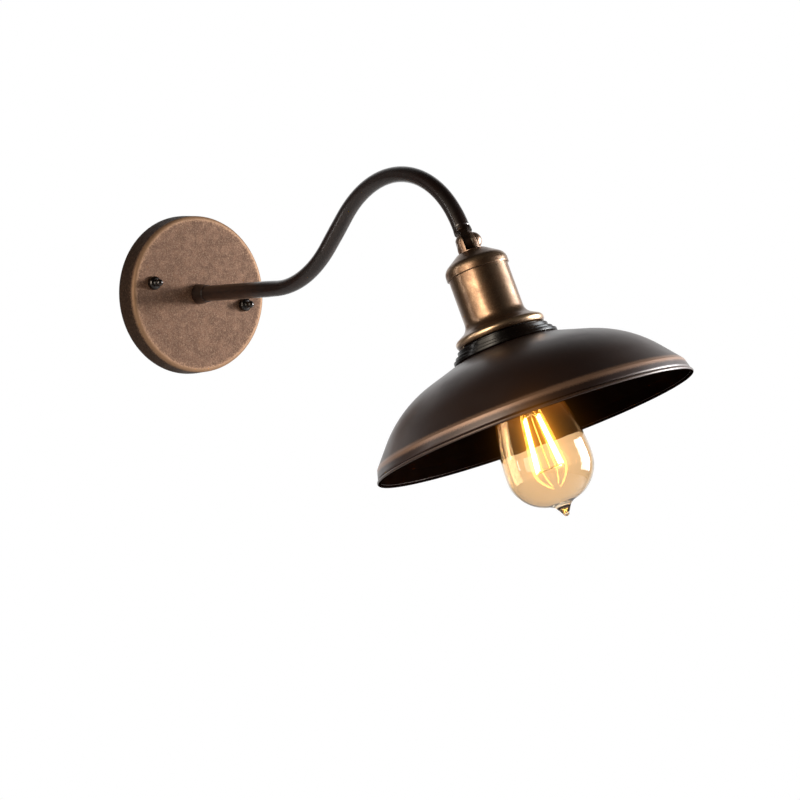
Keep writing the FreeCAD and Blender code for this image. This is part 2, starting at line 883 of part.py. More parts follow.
def make_shade_seat_ring():
    solids = []
    start = cup_end
    for height, inset in zip(ring_heights, ring_insets):
        solids.append(disc(ring_radius - inset, start, start + height))
        start += height
    ring = fused(solids)
    return ring.cut(disc(shade_hole_radius, cup_end - 1, shade_top + 1)), head_frame


def draw_shade(side):
    pen = Outline(shade_hole_radius, shade_top, 0, side)
    pen.go(shade_flat_radius - shade_hole_radius).turn(shade_throat_radius, shade_crown_angle)
    pen.go(shade_crown_run)
    pen.turn(shade_bend_radius, shade_flank_angle - shade_crown_angle)
    pen.go(shade_flank_run)
    pen.turn(shade_ridge_radius, shade_band_angle - shade_flank_angle)
    return pen.go(shade_band_run)


def make_shade():
    shell = turned_shell(draw_shade, shade_wall)
    lip = draw_shade(shade_wall / 2).shown
    bead = Part.makeTorus(lip.x, shade_bead_radius, Vector(0, 0, lip.z))
    return fused([shell, bead]), head_frame


def make_shade_ring_nut():
    start = shade_top + shade_wall
    bore = holder_radius + thread_gap
    flange = disc(ring_nut_flange_radius, start, start + ring_nut_flange)
    body = disc(ring_nut_radius, start + ring_nut_flange, start + ring_nut_height)
    nut = fused([flange, body]).cut(disc(bore, start - 1, start + ring_nut_height + 1))
    for i in range(ring_nut_grips):
        groove = disc(
            ring_nut_grip_radius, start + ring_nut_flange, start + ring_nut_height + 1)
        groove.translate(Vector(ring_nut_radius, 0, 0))
        groove.rotate(ZERO, Z_AXIS, i * 360 / ring_nut_grips)
        nut = nut.cut(groove)
    return nut, head_frame


# ---- lamp --------------------------------------------------------------------------------
def make_lamp_contact():
    tip = disc(lamp_contact_radius, lamp_start, lamp_start + lamp_contact_height)
    rim = [edge for edge in tip.Edges if edge.BoundBox.ZMax < lamp_start + lamp_contact_edge]
    return tip.makeFillet(lamp_contact_edge, rim), head_frame


def make_lamp_insulator():
    start = lamp_start + lamp_contact_height
    points = (
        (0, start), (lamp_contact_radius, start),
        (lamp_insulator_radius, lamp_cap_start), (0, lamp_cap_start))
    return turned_points(points), head_frame


def make_lamp_cap():
    """A hollow screw cap with rounded rings for its thread."""
    skirt = disc(
        lamp_cap_radius, lamp_cap_end - lamp_cap_skirt, lamp_cap_end,
        lamp_cap_radius - lamp_cap_wall)
    thread_end = lamp_cap_end - lamp_cap_skirt
    rings = []
    crest = lamp_cap_radius
    root = lamp_cap_radius - lamp_thread_depth
    pitch = lamp_thread_pitch
    bore = root - lamp_cap_wall
    for i in range(lamp_thread_turns):
        start = lamp_cap_start + i * pitch
        rings.append(Vector(crest, 0, start + pitch / 2))
        rings.append(Vector(root, 0, start + pitch))
    edges = []
    last = Vector(root, 0, lamp_cap_start)
    for crest_point, root_point in zip(rings[0::2], rings[1::2]):
        quarter = Vector((crest + root) / 2, 0, (last.z + crest_point.z) / 2)
        edges.append(Part.makeLine(last, quarter))
        three_quarter = Vector(quarter.x, 0, (crest_point.z + root_point.z) / 2)
        edges.append(Part.Arc(quarter, crest_point, three_quarter).toShape())
        edges.append(Part.makeLine(three_quarter, root_point))
        last = root_point
    inner_start = Vector(bore, 0, lamp_cap_start)
    inner_end = Vector(bore, 0, thread_end)
    edges.append(Part.makeLine(last, inner_end))
    edges.append(Part.makeLine(inner_end, inner_start))
    edges.append(Part.makeLine(inner_start, Vector(root, 0, lamp_cap_start)))
    floor = disc(root, lamp_cap_start, lamp_cap_start + lamp_cap_wall)
    step = disc(lamp_cap_radius, thread_end, thread_end + lamp_cap_wall, bore)
    return fused([turned(edges), floor, step, skirt]), head_frame


glass_neck_radius = lamp_cap_radius - lamp_cap_wall - running_gap
glass_start = lamp_cap_end - lamp_cap_skirt + lamp_cap_wall + slip_gap


def draw_glass(side):
    """The bulb's profile from its neck to where the nipple starts."""
    pen = Outline(glass_neck_radius, glass_start, 90, side)
    pen.go(lamp_cap_end - glass_start + glass_neck)
    pen.turn(glass_neck_bend_radius, -glass_slope_angle)
    pen.go(glass_slope_run)
    pen.turn(glass_belly_radius, glass_slope_angle)
    pen.turn(glass_side_radius, glass_side_angle)
    return pen.turn(glass_tip_radius, 90 - glass_side_angle)


def solid_inside(pen, start):
    """The whole space within a profile that starts at `start` and ends near the axis."""
    first = pen.edges[0].firstVertex().Point
    closing = [
        Part.makeLine(pen.shown, Vector(0, 0, pen.shown.z)),
        Part.makeLine(Vector(0, 0, pen.shown.z), Vector(0, 0, start)),
        Part.makeLine(Vector(0, 0, start), first)]
    return turned(pen.edges + closing)


def make_lamp_glass():
    outer = solid_inside(draw_glass(0.0), glass_start)
    inner = solid_inside(draw_glass(glass_wall), glass_start)
    tip_start = outer.BoundBox.ZMax - glass_nipple_sink
    base = glass_nipple_base
    nipple = Part.makeCone(
        base, glass_nipple_tip, glass_nipple_length, Vector(0, 0, tip_start))
    tip_centre = Vector(0, 0, tip_start + glass_nipple_length)
    tip = Part.makeSphere(glass_nipple_tip, tip_centre)
    return fused([outer.cut(inner), nipple, tip]), head_frame


stem_start = glass_start
stem_end = stem_start + stem_length


def make_lamp_stem():
    """The glass mount: a flare sealed to the neck, and a rod that carries the filaments."""
    neck = glass_neck_radius - glass_wall
    points = (
        (0, stem_start), (neck - rest_gap, stem_start),
        (neck - rest_gap, stem_start + stem_rim),
        (stem_shoulder_radius, stem_start + stem_flare),
        (stem_rod_radius, stem_start + stem_flare + stem_taper),
        (stem_rod_radius, stem_end), (0, stem_end))
    return turned_points(points), head_frame


def filament_ends():
    top = stem_end + filament_drop
    spread = filament_bottom_radius - filament_top_radius
    bottom = top + math.sqrt(filament_length ** 2 - spread ** 2)
    ends = []
    for i in range(filament_count):
        angle = math.radians(filament_turn + 360 * i / filament_count)
        side = Vector(math.cos(angle), math.sin(angle), 0)
        ends.append((
            side * filament_top_radius + Z_AXIS * top,
            side * filament_bottom_radius + Z_AXIS * bottom))
    return ends


def make_filaments():
    return Part.Compound([bar(filament_radius, a, b) for a, b in filament_ends()]), head_frame


def make_filament_supports():
    """Wires from the stem to the filaments' ends, and one that joins them below."""
    pieces = []
    hub = Vector(0, 0, stem_end + support_radius + running_gap)
    tail = Vector(0, 0, stem_end)
    pieces.append(bar(support_radius, tail, Vector(0, 0, filament_ends()[0][1].z)))
    for top, bottom in filament_ends():
        pieces.append(bar(support_radius, hub, top))
        pieces.append(bar(support_radius, Vector(0, 0, bottom.z), bottom))
    wires = fused(pieces)
    return wires.cut(make_filaments()[0]), head_frame


makers = {
    "wall_canopy": make_wall_canopy,
    "mounting_strap": make_mounting_strap,
    "canopy_studs": make_canopy_studs,
    "stud_nuts": make_stud_nuts,
    "cap_nuts": make_cap_nuts,
    "earth_screw": make_earth_screw,
    "terminal_block": make_terminal_block,
    "terminal_screws": make_terminal_screws,
    "arm_nipple": make_arm_nipple,
    "lock_washer": make_lock_washer,
    "arm_locknut": make_arm_locknut,
    "base_collar": make_base_collar,
    "gooseneck_tube": make_gooseneck_tube,
    "arm_lead": make_arm_lead,
    "swivel_bush": make_swivel_bush,
    "knuckle_tongue": make_knuckle_tongue,
    "swivel_nut": make_swivel_nut,
    "friction_washers": make_friction_washers,
    "knuckle_fork": make_knuckle_fork,
    "pivot_screw": make_pivot_screw,
    "pivot_nut": make_pivot_nut,
    "socket_cap": make_socket_cap,
    "cap_locknut": make_cap_locknut,
    "socket_cup": make_socket_cup,
    "head_nipple": make_head_nipple,
    "lampholder": make_lampholder,
    "screw_shell": make_screw_shell,
    "centre_contact": make_centre_contact,
    "holder_terminals": make_holder_terminals,
    "head_lead": make_head_lead,
    "shade_seat_ring": make_shade_seat_ring,
    "shade": make_shade,
    "shade_ring_nut": make_shade_ring_nut,
    "lamp_contact": make_lamp_contact,
    "lamp_insulator": make_lamp_insulator,
    "lamp_cap": make_lamp_cap,
    "lamp_glass": make_lamp_glass,
    "lamp_stem": make_lamp_stem,
    "filaments": make_filaments,
    "filament_supports": make_filament_supports,
}

os.makedirs("parts", exist_ok=True)
for name, make in makers.items():
    shape, place = make()
    shape = shape.copy()
    shape.Placement = place.multiply(shape.Placement)
    print(name, len(shape.Solids), shape.isValid(), round(shape.Volume, 1))
    shape.exportStep("parts/" + name + ".step")
print("pivot", pivot, "head", head_direction, "pivot axis", pivot_direction)
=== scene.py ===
"""The looks of the gooseneck wall sconce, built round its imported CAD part.

Lengths in the pieces are millimetres, as in the part's source; a mesh is in metres.
"""
import json
import math
import bmesh
import bpy
from mathutils import Matrix, Vector, noise


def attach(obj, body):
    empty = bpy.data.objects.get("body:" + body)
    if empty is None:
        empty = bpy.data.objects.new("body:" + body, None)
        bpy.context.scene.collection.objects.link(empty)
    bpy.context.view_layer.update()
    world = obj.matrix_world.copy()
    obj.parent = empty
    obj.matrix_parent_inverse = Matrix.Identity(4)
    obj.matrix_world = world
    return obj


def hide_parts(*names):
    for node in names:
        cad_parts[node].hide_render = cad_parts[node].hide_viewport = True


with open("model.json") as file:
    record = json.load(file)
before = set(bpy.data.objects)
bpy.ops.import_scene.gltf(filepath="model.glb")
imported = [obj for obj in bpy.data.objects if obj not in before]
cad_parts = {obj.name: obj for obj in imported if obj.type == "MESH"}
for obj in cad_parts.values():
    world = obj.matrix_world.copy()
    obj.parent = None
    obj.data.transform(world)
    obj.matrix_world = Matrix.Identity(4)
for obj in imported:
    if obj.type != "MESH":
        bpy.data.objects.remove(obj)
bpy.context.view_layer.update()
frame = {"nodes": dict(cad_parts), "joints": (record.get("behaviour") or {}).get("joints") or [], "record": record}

MM = 0.001
UP = Vector((0, 0, 1))
RIGHT = Vector((1, 0, 0))
OUT = Vector((0, -1, 0))
OUTWARDS = 0            # the headings of a pen, in degrees
ALONG = 90
ON_AXIS = 1e-6          # a section point nearer to the axis than this is one vertex
OUTER_FINISH = 0        # the material slots of a turned piece
INNER_FINISH = 1
FINE_ARC = 15           # the most degrees between two points of a small rounded edge

nodes = frame["nodes"]
joints = {joint["name"]: joint for joint in frame["joints"]}
pivot = Vector(joints["head_tilt"]["pos_m"])
pivot_axis = Vector(joints["head_tilt"]["axis"]).normalized()
head_axis = Vector(joints["lamp_out"]["axis"]).normalized()


# ---- frames and section lines --------------------------------------------------------------
def local_frame(origin, x_axis, z_axis):
    """The matrix of a local frame whose +Z is z_axis."""
    z = z_axis.normalized()
    y = z.cross(x_axis).normalized()
    matrix = Matrix((y.cross(z), y, z)).transposed().to_4x4()
    matrix.translation = origin
    return matrix


canopy_frame = local_frame(Vector((0, 0, 0)), RIGHT, OUT)
head_frame = local_frame(pivot, pivot_axis, head_axis)


class Pen:
    """Draws a section line of (radius, along, finish) points and notes its rubbed edges.

    `step` is the most that two points are apart, and `side` shifts the line to its left.
    """

    def __init__(self, radius, along, heading, step, side=0.0):
        self.r = radius
        self.z = along
        self.heading = heading
        self.step = step
        self.side = side
        self.points = []
        self.ridges = []
        self._keep()

    def _keep(self):
        angle = math.radians(self.heading)
        self.points.append((
            self.r - self.side * math.sin(angle),
            self.z + self.side * math.cos(angle), OUTER_FINISH))

    def go(self, length, step=None):
        count = max(1, math.ceil(length / (step or self.step)))
        angle = math.radians(self.heading)
        for _ in range(count):
            self.r += length / count * math.cos(angle)
            self.z += length / count * math.sin(angle)
            self._keep()
        return self

    def turn(self, radius, degrees, most=6.0):
        """An arc; positive degrees turn the heading from outwards to along the axis."""
        span = radius * math.radians(abs(degrees))
        count = max(2, math.ceil(abs(degrees) / most), math.ceil(span / self.step))
        signed = math.copysign(radius, degrees)
        for _ in range(count):
            first = math.radians(self.heading)
            self.heading += degrees / count
            last = math.radians(self.heading)
            self.r += signed * (math.sin(last) - math.sin(first))
            self.z += signed * (math.cos(first) - math.cos(last))
            self._keep()
        return self

    def worn(self, width, strength):
        """Marks a rubbed edge where the pen stands."""
        r, z, _ = self.points[-1]
        self.ridges.append((r, z, width, strength))
        return self


def wear_at(r, z, ridges):
    """How rubbed a point of a section is, from 0 to 1."""
    total = 0.0
    for ridge_r, ridge_z, width, strength in ridges:
        gap = math.hypot(r - ridge_r, z - ridge_z) / width
        total += strength * math.exp(-gap * gap)
    return min(total, 1.0)


def shell_loop(draw, wall):
    """The closed section of a wall of even thickness, whose outer face `draw` draws."""
    outer = draw(0.0)
    inner = draw(wall)
    return outer.points + inner.points[::-1], outer.ridges


def uneven(spot, mean, waves):
    """A mean depth with waves of noise on it, each given as (height, size)."""
    depth = mean
    for height, size in waves:
        depth += height * noise.noise(spot / size)
    return depth


# ---- meshes ---------------------------------------------------------------------------------
def build_mesh(name, points, faces, finishes, places, wears):
    """A smooth object whose points carry their local place and their wear."""
    mesh = bpy.data.meshes.new(name)
    mesh.from_pydata(points, [], faces)
    mesh.polygons.foreach_set("material_index", finishes)
    mesh.polygons.foreach_set("use_smooth", [True] * len(faces))
    place = mesh.attributes.new("place", "FLOAT_VECTOR", "POINT")
    place.data.foreach_set("vector", [value for point in places for value in point])
    wear = mesh.attributes.new("wear", "FLOAT", "POINT")
    wear.data.foreach_set("value", wears)
    shape = bmesh.new()
    shape.from_mesh(mesh)
    bmesh.ops.recalc_face_normals(shape, faces=shape.faces)
    shape.to_mesh(mesh)
    shape.free()
    mesh.update()
    made = bpy.data.objects.new(name, mesh)
    bpy.context.scene.collection.objects.link(made)
    return made


def turned(name, section, place, around, ridges=(), closed=True, shift=None,
           offsets=(Vector(),)):
    """A piece turned about local Z from a section, once at each offset.

    A point on the axis becomes one vertex. shift(spot, angle) moves a point in the local frame.
    """
    points, faces, finishes, places, wears = [], [], [], [], []
    for offset in offsets:
        rings = []
        for r, z, finish in section:
            count = 1 if r < ON_AXIS else around
            ring = []
            for k in range(count):
                angle = 2 * math.pi * k / around
                spot = Vector((r * math.cos(angle), r * math.sin(angle), z))
                if shift:
                    spot = shift(spot, angle)
                spot += offset
                ring.append(len(points))
                points.append(place @ (spot * MM))
                places.append(spot * MM)
                wears.append(wear_at(r, z, ridges))
            rings.append((ring, finish))
        pairs = list(zip(rings, rings[1:] + rings[:1]))
        if not closed:
            pairs = pairs[:-1]
        for (ring, finish), (next_ring, _) in pairs:
            for k in range(around):
                k2 = (k + 1) % around
                corners = [ring[k % len(ring)], ring[k2 % len(ring)],
                           next_ring[k2 % len(next_ring)], next_ring[k % len(next_ring)]]
                corners = list(dict.fromkeys(corners))
                if len(corners) > 2:
                    faces.append(corners)
                    finishes.append(finish)
    return build_mesh(name, points, faces, finishes, places, wears)


def swept(name, path, radius, around, first_side, flats, shift=None):
    """An open round skin along a path of points in metres.

    flats gives, for each point of the path, the share that its width across first_side loses.
    shift(spot) is how far a point of the skin moves outwards.
    """
    points, faces = [], []
    side = first_side
    rings = []
    for i, spot in enumerate(path):
        before = path[max(i - 1, 0)]
        after = path[min(i + 1, len(path) - 1)]
        along = (after - before).normalized()
        side = (side - along * side.dot(along)).normalized()
        across = along.cross(side)
        ring = []
        for k in range(around):
            angle = 2 * math.pi * k / around
            arm = side * math.cos(angle) + across * math.sin(angle) * (1 - flats[i])
            reach = radius + (shift(spot + arm * radius) if shift else 0.0)
            ring.append(len(points))
            points.append(spot + arm * reach)
        rings.append(ring)
    for ring, next_ring in zip(rings, rings[1:]):
        for k in range(around):
            k2 = (k + 1) % around
            faces.append([ring[k], ring[k2], next_ring[k2], next_ring[k]])
    finishes = [OUTER_FINISH] * len(faces)
    return build_mesh(name, points, faces, finishes, points, [0.0] * len(points))


def piece(made, body, slot, replaced, *materials):
    """Gives a finished piece its materials, hangs it on its body and hides the CAD nodes that it replaces."""
    for material in materials:
        made.data.materials.append(material)
    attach(made, body)
    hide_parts(*replaced)
    return made


# ---- node trees and tones -------------------------------------------------------------------
EVEN_NOISE = (0.3, 0.7)         # the values that a noise mostly lies between


class Nodes:
    """A node tree, its nodes added one at a time."""

    def __init__(self, tree, family):
        self.tree = tree
        self.family = family

    def join(self, value, socket):
        if isinstance(value, bpy.types.NodeSocket):
            self.tree.links.new(value, socket)
        else:
            socket.default_value = value

    def node(self, kind, inputs, **settings):
        made = self.tree.nodes.new(self.family + kind)
        for key, value in settings.items():
            setattr(made, key, value)
        for key, value in inputs.items():
            self.join(value, made.inputs[key])
        return made

    def maths(self, operation, a, b):
        return self.node("Math", {0: a, 1: b}, operation=operation).outputs[0]

    def span(self, value, band, to_low=0.0, to_high=1.0):
        """Leads a value from to_low to to_high as it crosses the band."""
        low, high = band
        return self.node("MapRange", {
            "Value": value, "From Min": low, "From Max": high,
            "To Min": to_low, "To Max": to_high}, interpolation_type="SMOOTHSTEP").outputs["Result"]


class Finish(Nodes):
    """A material, made from its shader's nodes."""

    def __init__(self, name):
        self.material = bpy.data.materials.new(name)
        self.material.use_nodes = True
        super().__init__(self.material.node_tree, "ShaderNode")
        self.surface = self.tree.nodes["Principled BSDF"]

    def set(self, **values):
        for key, value in values.items():
            self.join(value, self.surface.inputs[key.replace("_", " ")])
        return self

    def spot(self):
        return self.node("TexCoord", {}).outputs["Object"]

    def attribute(self, name, output):
        return self.node("Attribute", {}, attribute_name=name).outputs[output]

    def along(self):
        """How far along its local axis a point of a turned piece is, in metres."""
        return self.node("SeparateXYZ", {0: self.attribute("place", "Vector")}).outputs[2]

    def noise(self, vector, size, detail=3.0, rough=0.55, warp=0.0):
        """Noise whose features are about `size` millimetres."""
        return self.node("TexNoise", {
            "Vector": vector, "Scale": 1 / (size * MM), "Detail": detail,
            "Roughness": rough, "Distortion": warp}).outputs["Fac"]

    def blend(self, factor, a, b, kind="MIX"):
        return self.node("Mix", {0: factor, 6: a, 7: b}, data_type="RGBA",
                         blend_type=kind).outputs[2]

    def shaded(self, colour, shade):
        """A colour, darkened by a shade from 0 to 1."""
        tint = self.node("CombineColor", {0: shade, 1: shade, 2: shade}).outputs[0]
        return self.blend(1.0, colour, tint, "MULTIPLY")

    def bump(self, height, depth, strength):
        """Relief of about `depth` millimetres."""
        return self.node("Bump", {
            "Height": height, "Distance": depth * MM, "Strength": strength}).outputs["Normal"]


def grey(value):
    return (value, value, value, 1)


def tone(red, green, blue):
    """A linear colour from the 0 to 255 values that a screen shows, by the sRGB curve."""
    def linear(value):
        share = value / 255
        return share / 12.92 if share <= 0.04045 else ((share + 0.055) / 1.055) ** 2.4
    return (linear(red), linear(green), linear(blue), 1)


# ---- aged metal -----------------------------------------------------------------------------
PATCH_NOISE = {"detail": 5.0, "rough": 0.6, "warp": 0.3}
GRAIN_NOISE = {"detail": 3.0, "rough": 0.65}
FINE_NOISE = {"detail": 2.0, "rough": 0.6}
SPECK_NOISE = {"detail": 1.0, "rough": 0.5}
FINE_SIZE = 0.4                 # the finest noise's size, as a share of the grain's
FINE_CONTRAST = 0.6             # and its contrast, as a share of the grain's
SPECK_SIZE = 0.9                # the specks' size, as a share of the grain's
SPECK_BAND = (0.7, 0.78)        # where a speck starts
PATCH_BAND = (0.38, 0.66)       # where dark patches turn into the base tone
GRAIN_BAND = (0.45, 0.75)       # where the grain turns light
RUBBED_GAIN = 1.35
RUBBED_BAND = (0.2, 0.95)       # where a rubbed edge shows the metal
FRAY_GAIN = 0.43
PATCH_ROUGHER = 0.07            # how far patches change the roughness, each way
PATCH_SMOOTHER = 0.05
PATINA_BUMP = 0.8


def patina(name, base, dark, light, worn, patch, grain, rough, metal, relief, contrast,
           worn_rough, speck=0.0, coat=0.0, coat_rough=0.2, fray=0.35, painted_side_shade=None, shine=0.5):
    """An aged metal finish: patches, fine grain, rubbed edges and a little relief.

    speck is how strongly bare specks show, and fray how unevenly the edges are rubbed.
    The side-wall shade is (low, high, share), a painted shade: below low along the axis the tone falls to that
    share.
    """
    f = Finish(name)
    spot = f.spot()
    patches = f.noise(spot, patch, **PATCH_NOISE)
    grains = f.noise(spot, grain, **GRAIN_NOISE)
    fine = f.noise(spot, grain * FINE_SIZE, **FINE_NOISE)
    colour = f.blend(f.span(patches, PATCH_BAND), dark, base)
    colour = f.blend(f.maths("MULTIPLY", f.span(grains, GRAIN_BAND), contrast), colour, light)
    shade = f.span(fine, EVEN_NOISE, 1 - contrast * FINE_CONTRAST, 1.0)
    # painted shade: the tone darkens below the given place along the axis
    if painted_side_shade:
        low, high, share = painted_side_shade
        shade = f.maths("MULTIPLY", shade, f.span(f.along(), (low * MM, high * MM), share, 1.0))
    colour = f.shaded(colour, shade)
    rubbed = f.maths("MULTIPLY", f.attribute("wear", "Fac"), RUBBED_GAIN)
    rubbed = f.maths("ADD", rubbed, f.span(grains, EVEN_NOISE, -fray, fray * FRAY_GAIN))
    rubbed = f.span(rubbed, RUBBED_BAND)
    colour = f.blend(rubbed, colour, worn)
    if speck:
        specks = f.span(f.noise(spot, grain * SPECK_SIZE, **SPECK_NOISE), SPECK_BAND)
        colour = f.blend(f.maths("MULTIPLY", specks, speck), colour, worn)
    roughness = f.span(patches, EVEN_NOISE, rough + PATCH_ROUGHER, rough - PATCH_SMOOTHER)
    roughness = f.blend(rubbed, roughness, grey(worn_rough))
    f.set(Base_Color=colour, Metallic=metal, Roughness=roughness, Coat_Weight=coat,
          Coat_Roughness=coat_rough, Specular_IOR_Level=shine,
          Normal=f.bump(grains, relief, PATINA_BUMP))
    return f.material


# The dish's side wall carries a painted shade, darker than its face.
canopy_bronze = patina(
    "canopy_bronze", base=tone(142, 105, 82), dark=tone(124, 92, 73),
    light=tone(170, 136, 110), worn=tone(176, 138, 108), patch=5, grain=1.4, rough=0.55,
    metal=0.15, relief=0.09, contrast=0.9, worn_rough=0.5, speck=0.4, fray=0.25,
    painted_side_shade=(13.5, 16.5, 0.36), shine=0.12)
nut_bronze = patina(
    "nut_bronze", base=tone(30, 17, 11), dark=tone(20, 11, 7), light=tone(42, 26, 18),
    worn=tone(70, 46, 32), patch=6, grain=1.0, rough=0.3, metal=0.6, relief=0.01,
    contrast=0.4, worn_rough=0.25, coat=0.8, coat_rough=0.1)
arm_brown = patina(
    "arm_brown", base=tone(46, 21, 11), dark=tone(34, 15, 7), light=tone(56, 30, 17),
    worn=tone(110, 74, 54), patch=14, grain=1.6, rough=0.4, metal=0.2, relief=0.012,
    contrast=0.3, worn_rough=0.3, coat=0.8, coat_rough=0.19)
knuckle_dark = patina(
    "knuckle_dark", base=tone(66, 44, 32), dark=tone(34, 21, 15), light=tone(96, 66, 48),
    worn=tone(150, 110, 80), patch=5, grain=0.9, rough=0.36, metal=0.7, relief=0.02,
    contrast=0.4, worn_rough=0.3, coat=0.5, coat_rough=0.2)
head_bronze = patina(
    "head_bronze", base=tone(158, 124, 94), dark=tone(122, 90, 64), light=tone(190, 158, 124),
    worn=tone(206, 172, 136), patch=9, grain=1.0, rough=0.32, metal=0.9, relief=0.02,
    contrast=0.35, worn_rough=0.3, coat=0.6, coat_rough=0.28, fray=0.08)
knuckle_bronze = patina(
    "knuckle_bronze", base=tone(176, 146, 124), dark=tone(120, 90, 68),
    light=tone(200, 172, 150), worn=tone(214, 190, 168), patch=5, grain=0.9, rough=0.34,
    metal=0.85, relief=0.006, contrast=0.2, worn_rough=0.3, coat=0.6, coat_rough=0.25)
shade_brown = patina(
    "shade_brown", base=tone(72, 46, 33), dark=tone(62, 38, 27), light=tone(82, 55, 42),
    worn=tone(176, 136, 110), patch=26, grain=1.0, rough=0.42, metal=0.3, relief=0.015,
    contrast=0.2, worn_rough=0.42, coat=0.6, coat_rough=0.33, fray=0.12)


# ---- moulded, painted and plated finishes ---------------------------------------------------
BROAD_SIZE = 9                  # the broad noise's size, as a multiple of the fine one's
PLAIN_ROUGHER = 0.06            # how far the broad noise changes the roughness, each way
PLAIN_SMOOTHER = 0.05
PLAIN_BUMP = 0.7


def plain(name, colour, rough, relief, size, vary, metal=0.0, coat=0.0, shine=0.5):
    """A moulded, painted or plated finish, slightly uneven in tone, gloss and surface."""
    f = Finish(name)
    spot = f.spot()
    fine = f.noise(spot, size)
    broad = f.noise(spot, size * BROAD_SIZE)
    shade = f.span(broad, EVEN_NOISE, 1 - vary, 1.0)
    f.set(Base_Color=f.shaded(colour, shade), Metallic=metal,
          Roughness=f.span(broad, EVEN_NOISE, rough - PLAIN_SMOOTHER, rough + PLAIN_ROUGHER),
          Coat_Weight=coat, Specular_IOR_Level=shine,
          Normal=f.bump(fine, relief, PLAIN_BUMP))
    return f.material


shade_inside = plain(
    "shade_inside", tone(16, 8, 5), rough=0.9, relief=0.03, size=1.2, vary=0.4, shine=0.0)
ring_black = plain(
    "ring_black", tone(18, 10, 7), rough=0.26, relief=0.002, size=0.8, vary=0.1, shine=0.3)
holder_plastic = plain(
    "holder_plastic", tone(30, 28, 27), rough=0.42, relief=0.02, size=0.5, vary=0.3)
terminal_plastic = plain(
    "terminal_plastic", tone(216, 212, 200), rough=0.45, relief=0.02, size=0.5, vary=0.12)
lead_sheath = plain(
    "lead_sheath", tone(44, 34, 30), rough=0.5, relief=0.03, size=0.4, vary=0.3)
brass = plain(
    "brass", tone(206, 164, 92), rough=0.28, relief=0.01, size=0.4, vary=0.2, metal=1.0)
zinc_steel = plain(
    "zinc_steel", tone(176, 172, 160), rough=0.36, relief=0.02, size=0.5, vary=0.25, metal=1.0)
lamp_black = plain(
    "lamp_black", tone(22, 20, 22), rough=0.2, relief=0.01, size=0.5, vary=0.2, coat=0.4)


# ---- glass and filaments --------------------------------------------------------------------
GLASS_IOR = 1.46
GLOW_START = 92.0               # the glass glows fully up to here along the head's axis
GLOW_END = 138.0                # and not at all from here
GLOW = 0.095
GLOW_COLOUR = (1.0, 0.3, 0.02, 1)
GLASS_WAVE_SIZE = 30
GLASS_WAVE_DETAIL = 2.0
GLASS_WAVE_DEPTH = 0.4
GLASS_BUMP = 0.25
FILAMENT_COLOUR = (1.0, 0.6, 0.14, 1)
FILAMENT_STRENGTH = 60.0


def lamp_glass_finish():
    """Amber glass that glows near the lit filaments."""
    f = Finish("lamp_glass")
    waves = f.noise(f.attribute("place", "Vector"), GLASS_WAVE_SIZE, GLASS_WAVE_DETAIL)
    glow = f.span(f.along(), (GLOW_START * MM, GLOW_END * MM), 1.0, 0.0)
    f.set(Base_Color=tone(246, 222, 190), Roughness=0.02, IOR=GLASS_IOR,
          Transmission_Weight=1.0, Emission_Color=GLOW_COLOUR,
          Emission_Strength=f.maths("MULTIPLY", glow, GLOW),
          Normal=f.bump(waves, GLASS_WAVE_DEPTH, GLASS_BUMP))
    return f.material


lamp_glass = lamp_glass_finish()
stem_glass = Finish("stem_glass").set(
    Base_Color=tone(250, 246, 238), Roughness=0.03, IOR=GLASS_IOR,
    Transmission_Weight=1.0).material
filament_lit = Finish("filament").set(
    Base_Color=tone(255, 214, 120), Roughness=0.5, Emission_Color=FILAMENT_COLOUR,
    Emission_Strength=FILAMENT_STRENGTH).material


# ---- finishes of the CAD nodes --------------------------------------------------------------
slot_finishes = {
    "canopy_bronze": canopy_bronze, "nut_bronze": nut_bronze, "arm_brown": arm_brown,
    "knuckle_dark": knuckle_dark, "head_bronze": head_bronze, "shade_brown": shade_brown,
    "ring_black": ring_black, "holder_plastic": holder_plastic,
    "terminal_plastic": terminal_plastic, "lead_sheath": lead_sheath, "brass": brass,
    "zinc_steel": zinc_steel, "lamp_black": lamp_black, "lamp_glass": stem_glass,
    "filament": filament_lit}
for subpart in frame["record"]["subparts"]:
    materials = nodes[subpart["node"]].data.materials
    materials.clear()
    materials.append(slot_finishes[subpart["material_slot"]])
for name in ("knuckle_fork", "pivot_screw", "pivot_nut"):
    nodes[name].data.materials[0] = knuckle_bronze


# ---- canopy ---------------------------------------------------------------------------------
CANOPY_RADIUS = 60.0
CANOPY_DEPTH = 18.0
CANOPY_WALL = 1.2
CANOPY_RIM = 2.0
CANOPY_LEAN_RADIUS = 10.0
CANOPY_DRAFT = 4.0
CANOPY_SHOULDER = 3.0
CANOPY_WORN_AT = 52             # degrees round the shoulder to its most rubbed line
CANOPY_WEAR = (2.2, 0.55)       # the width and strength of a rubbed edge
CANOPY_WEAR_WIDE = (9.0, 0.28)
CANOPY_BORE = 5.1
CANOPY_STEP = 1.2
CANOPY_SIDES = 240
CANOPY_HOLLOW = 0.08
CANOPY_WAVES = ((0.08, 9), (0.035, 2.2))
STUD_SPACING = 83.0
STUD_HOLE_RADIUS = 2.3
STUD_HOLE_SIDES = 40
STRAP_TILT = -9.6
DRILL_LENGTH = 6


def stud_offset(side):
    angle = math.radians(STRAP_TILT)
    return Vector((math.cos(angle), math.sin(angle), 0)) * side * STUD_SPACING / 2


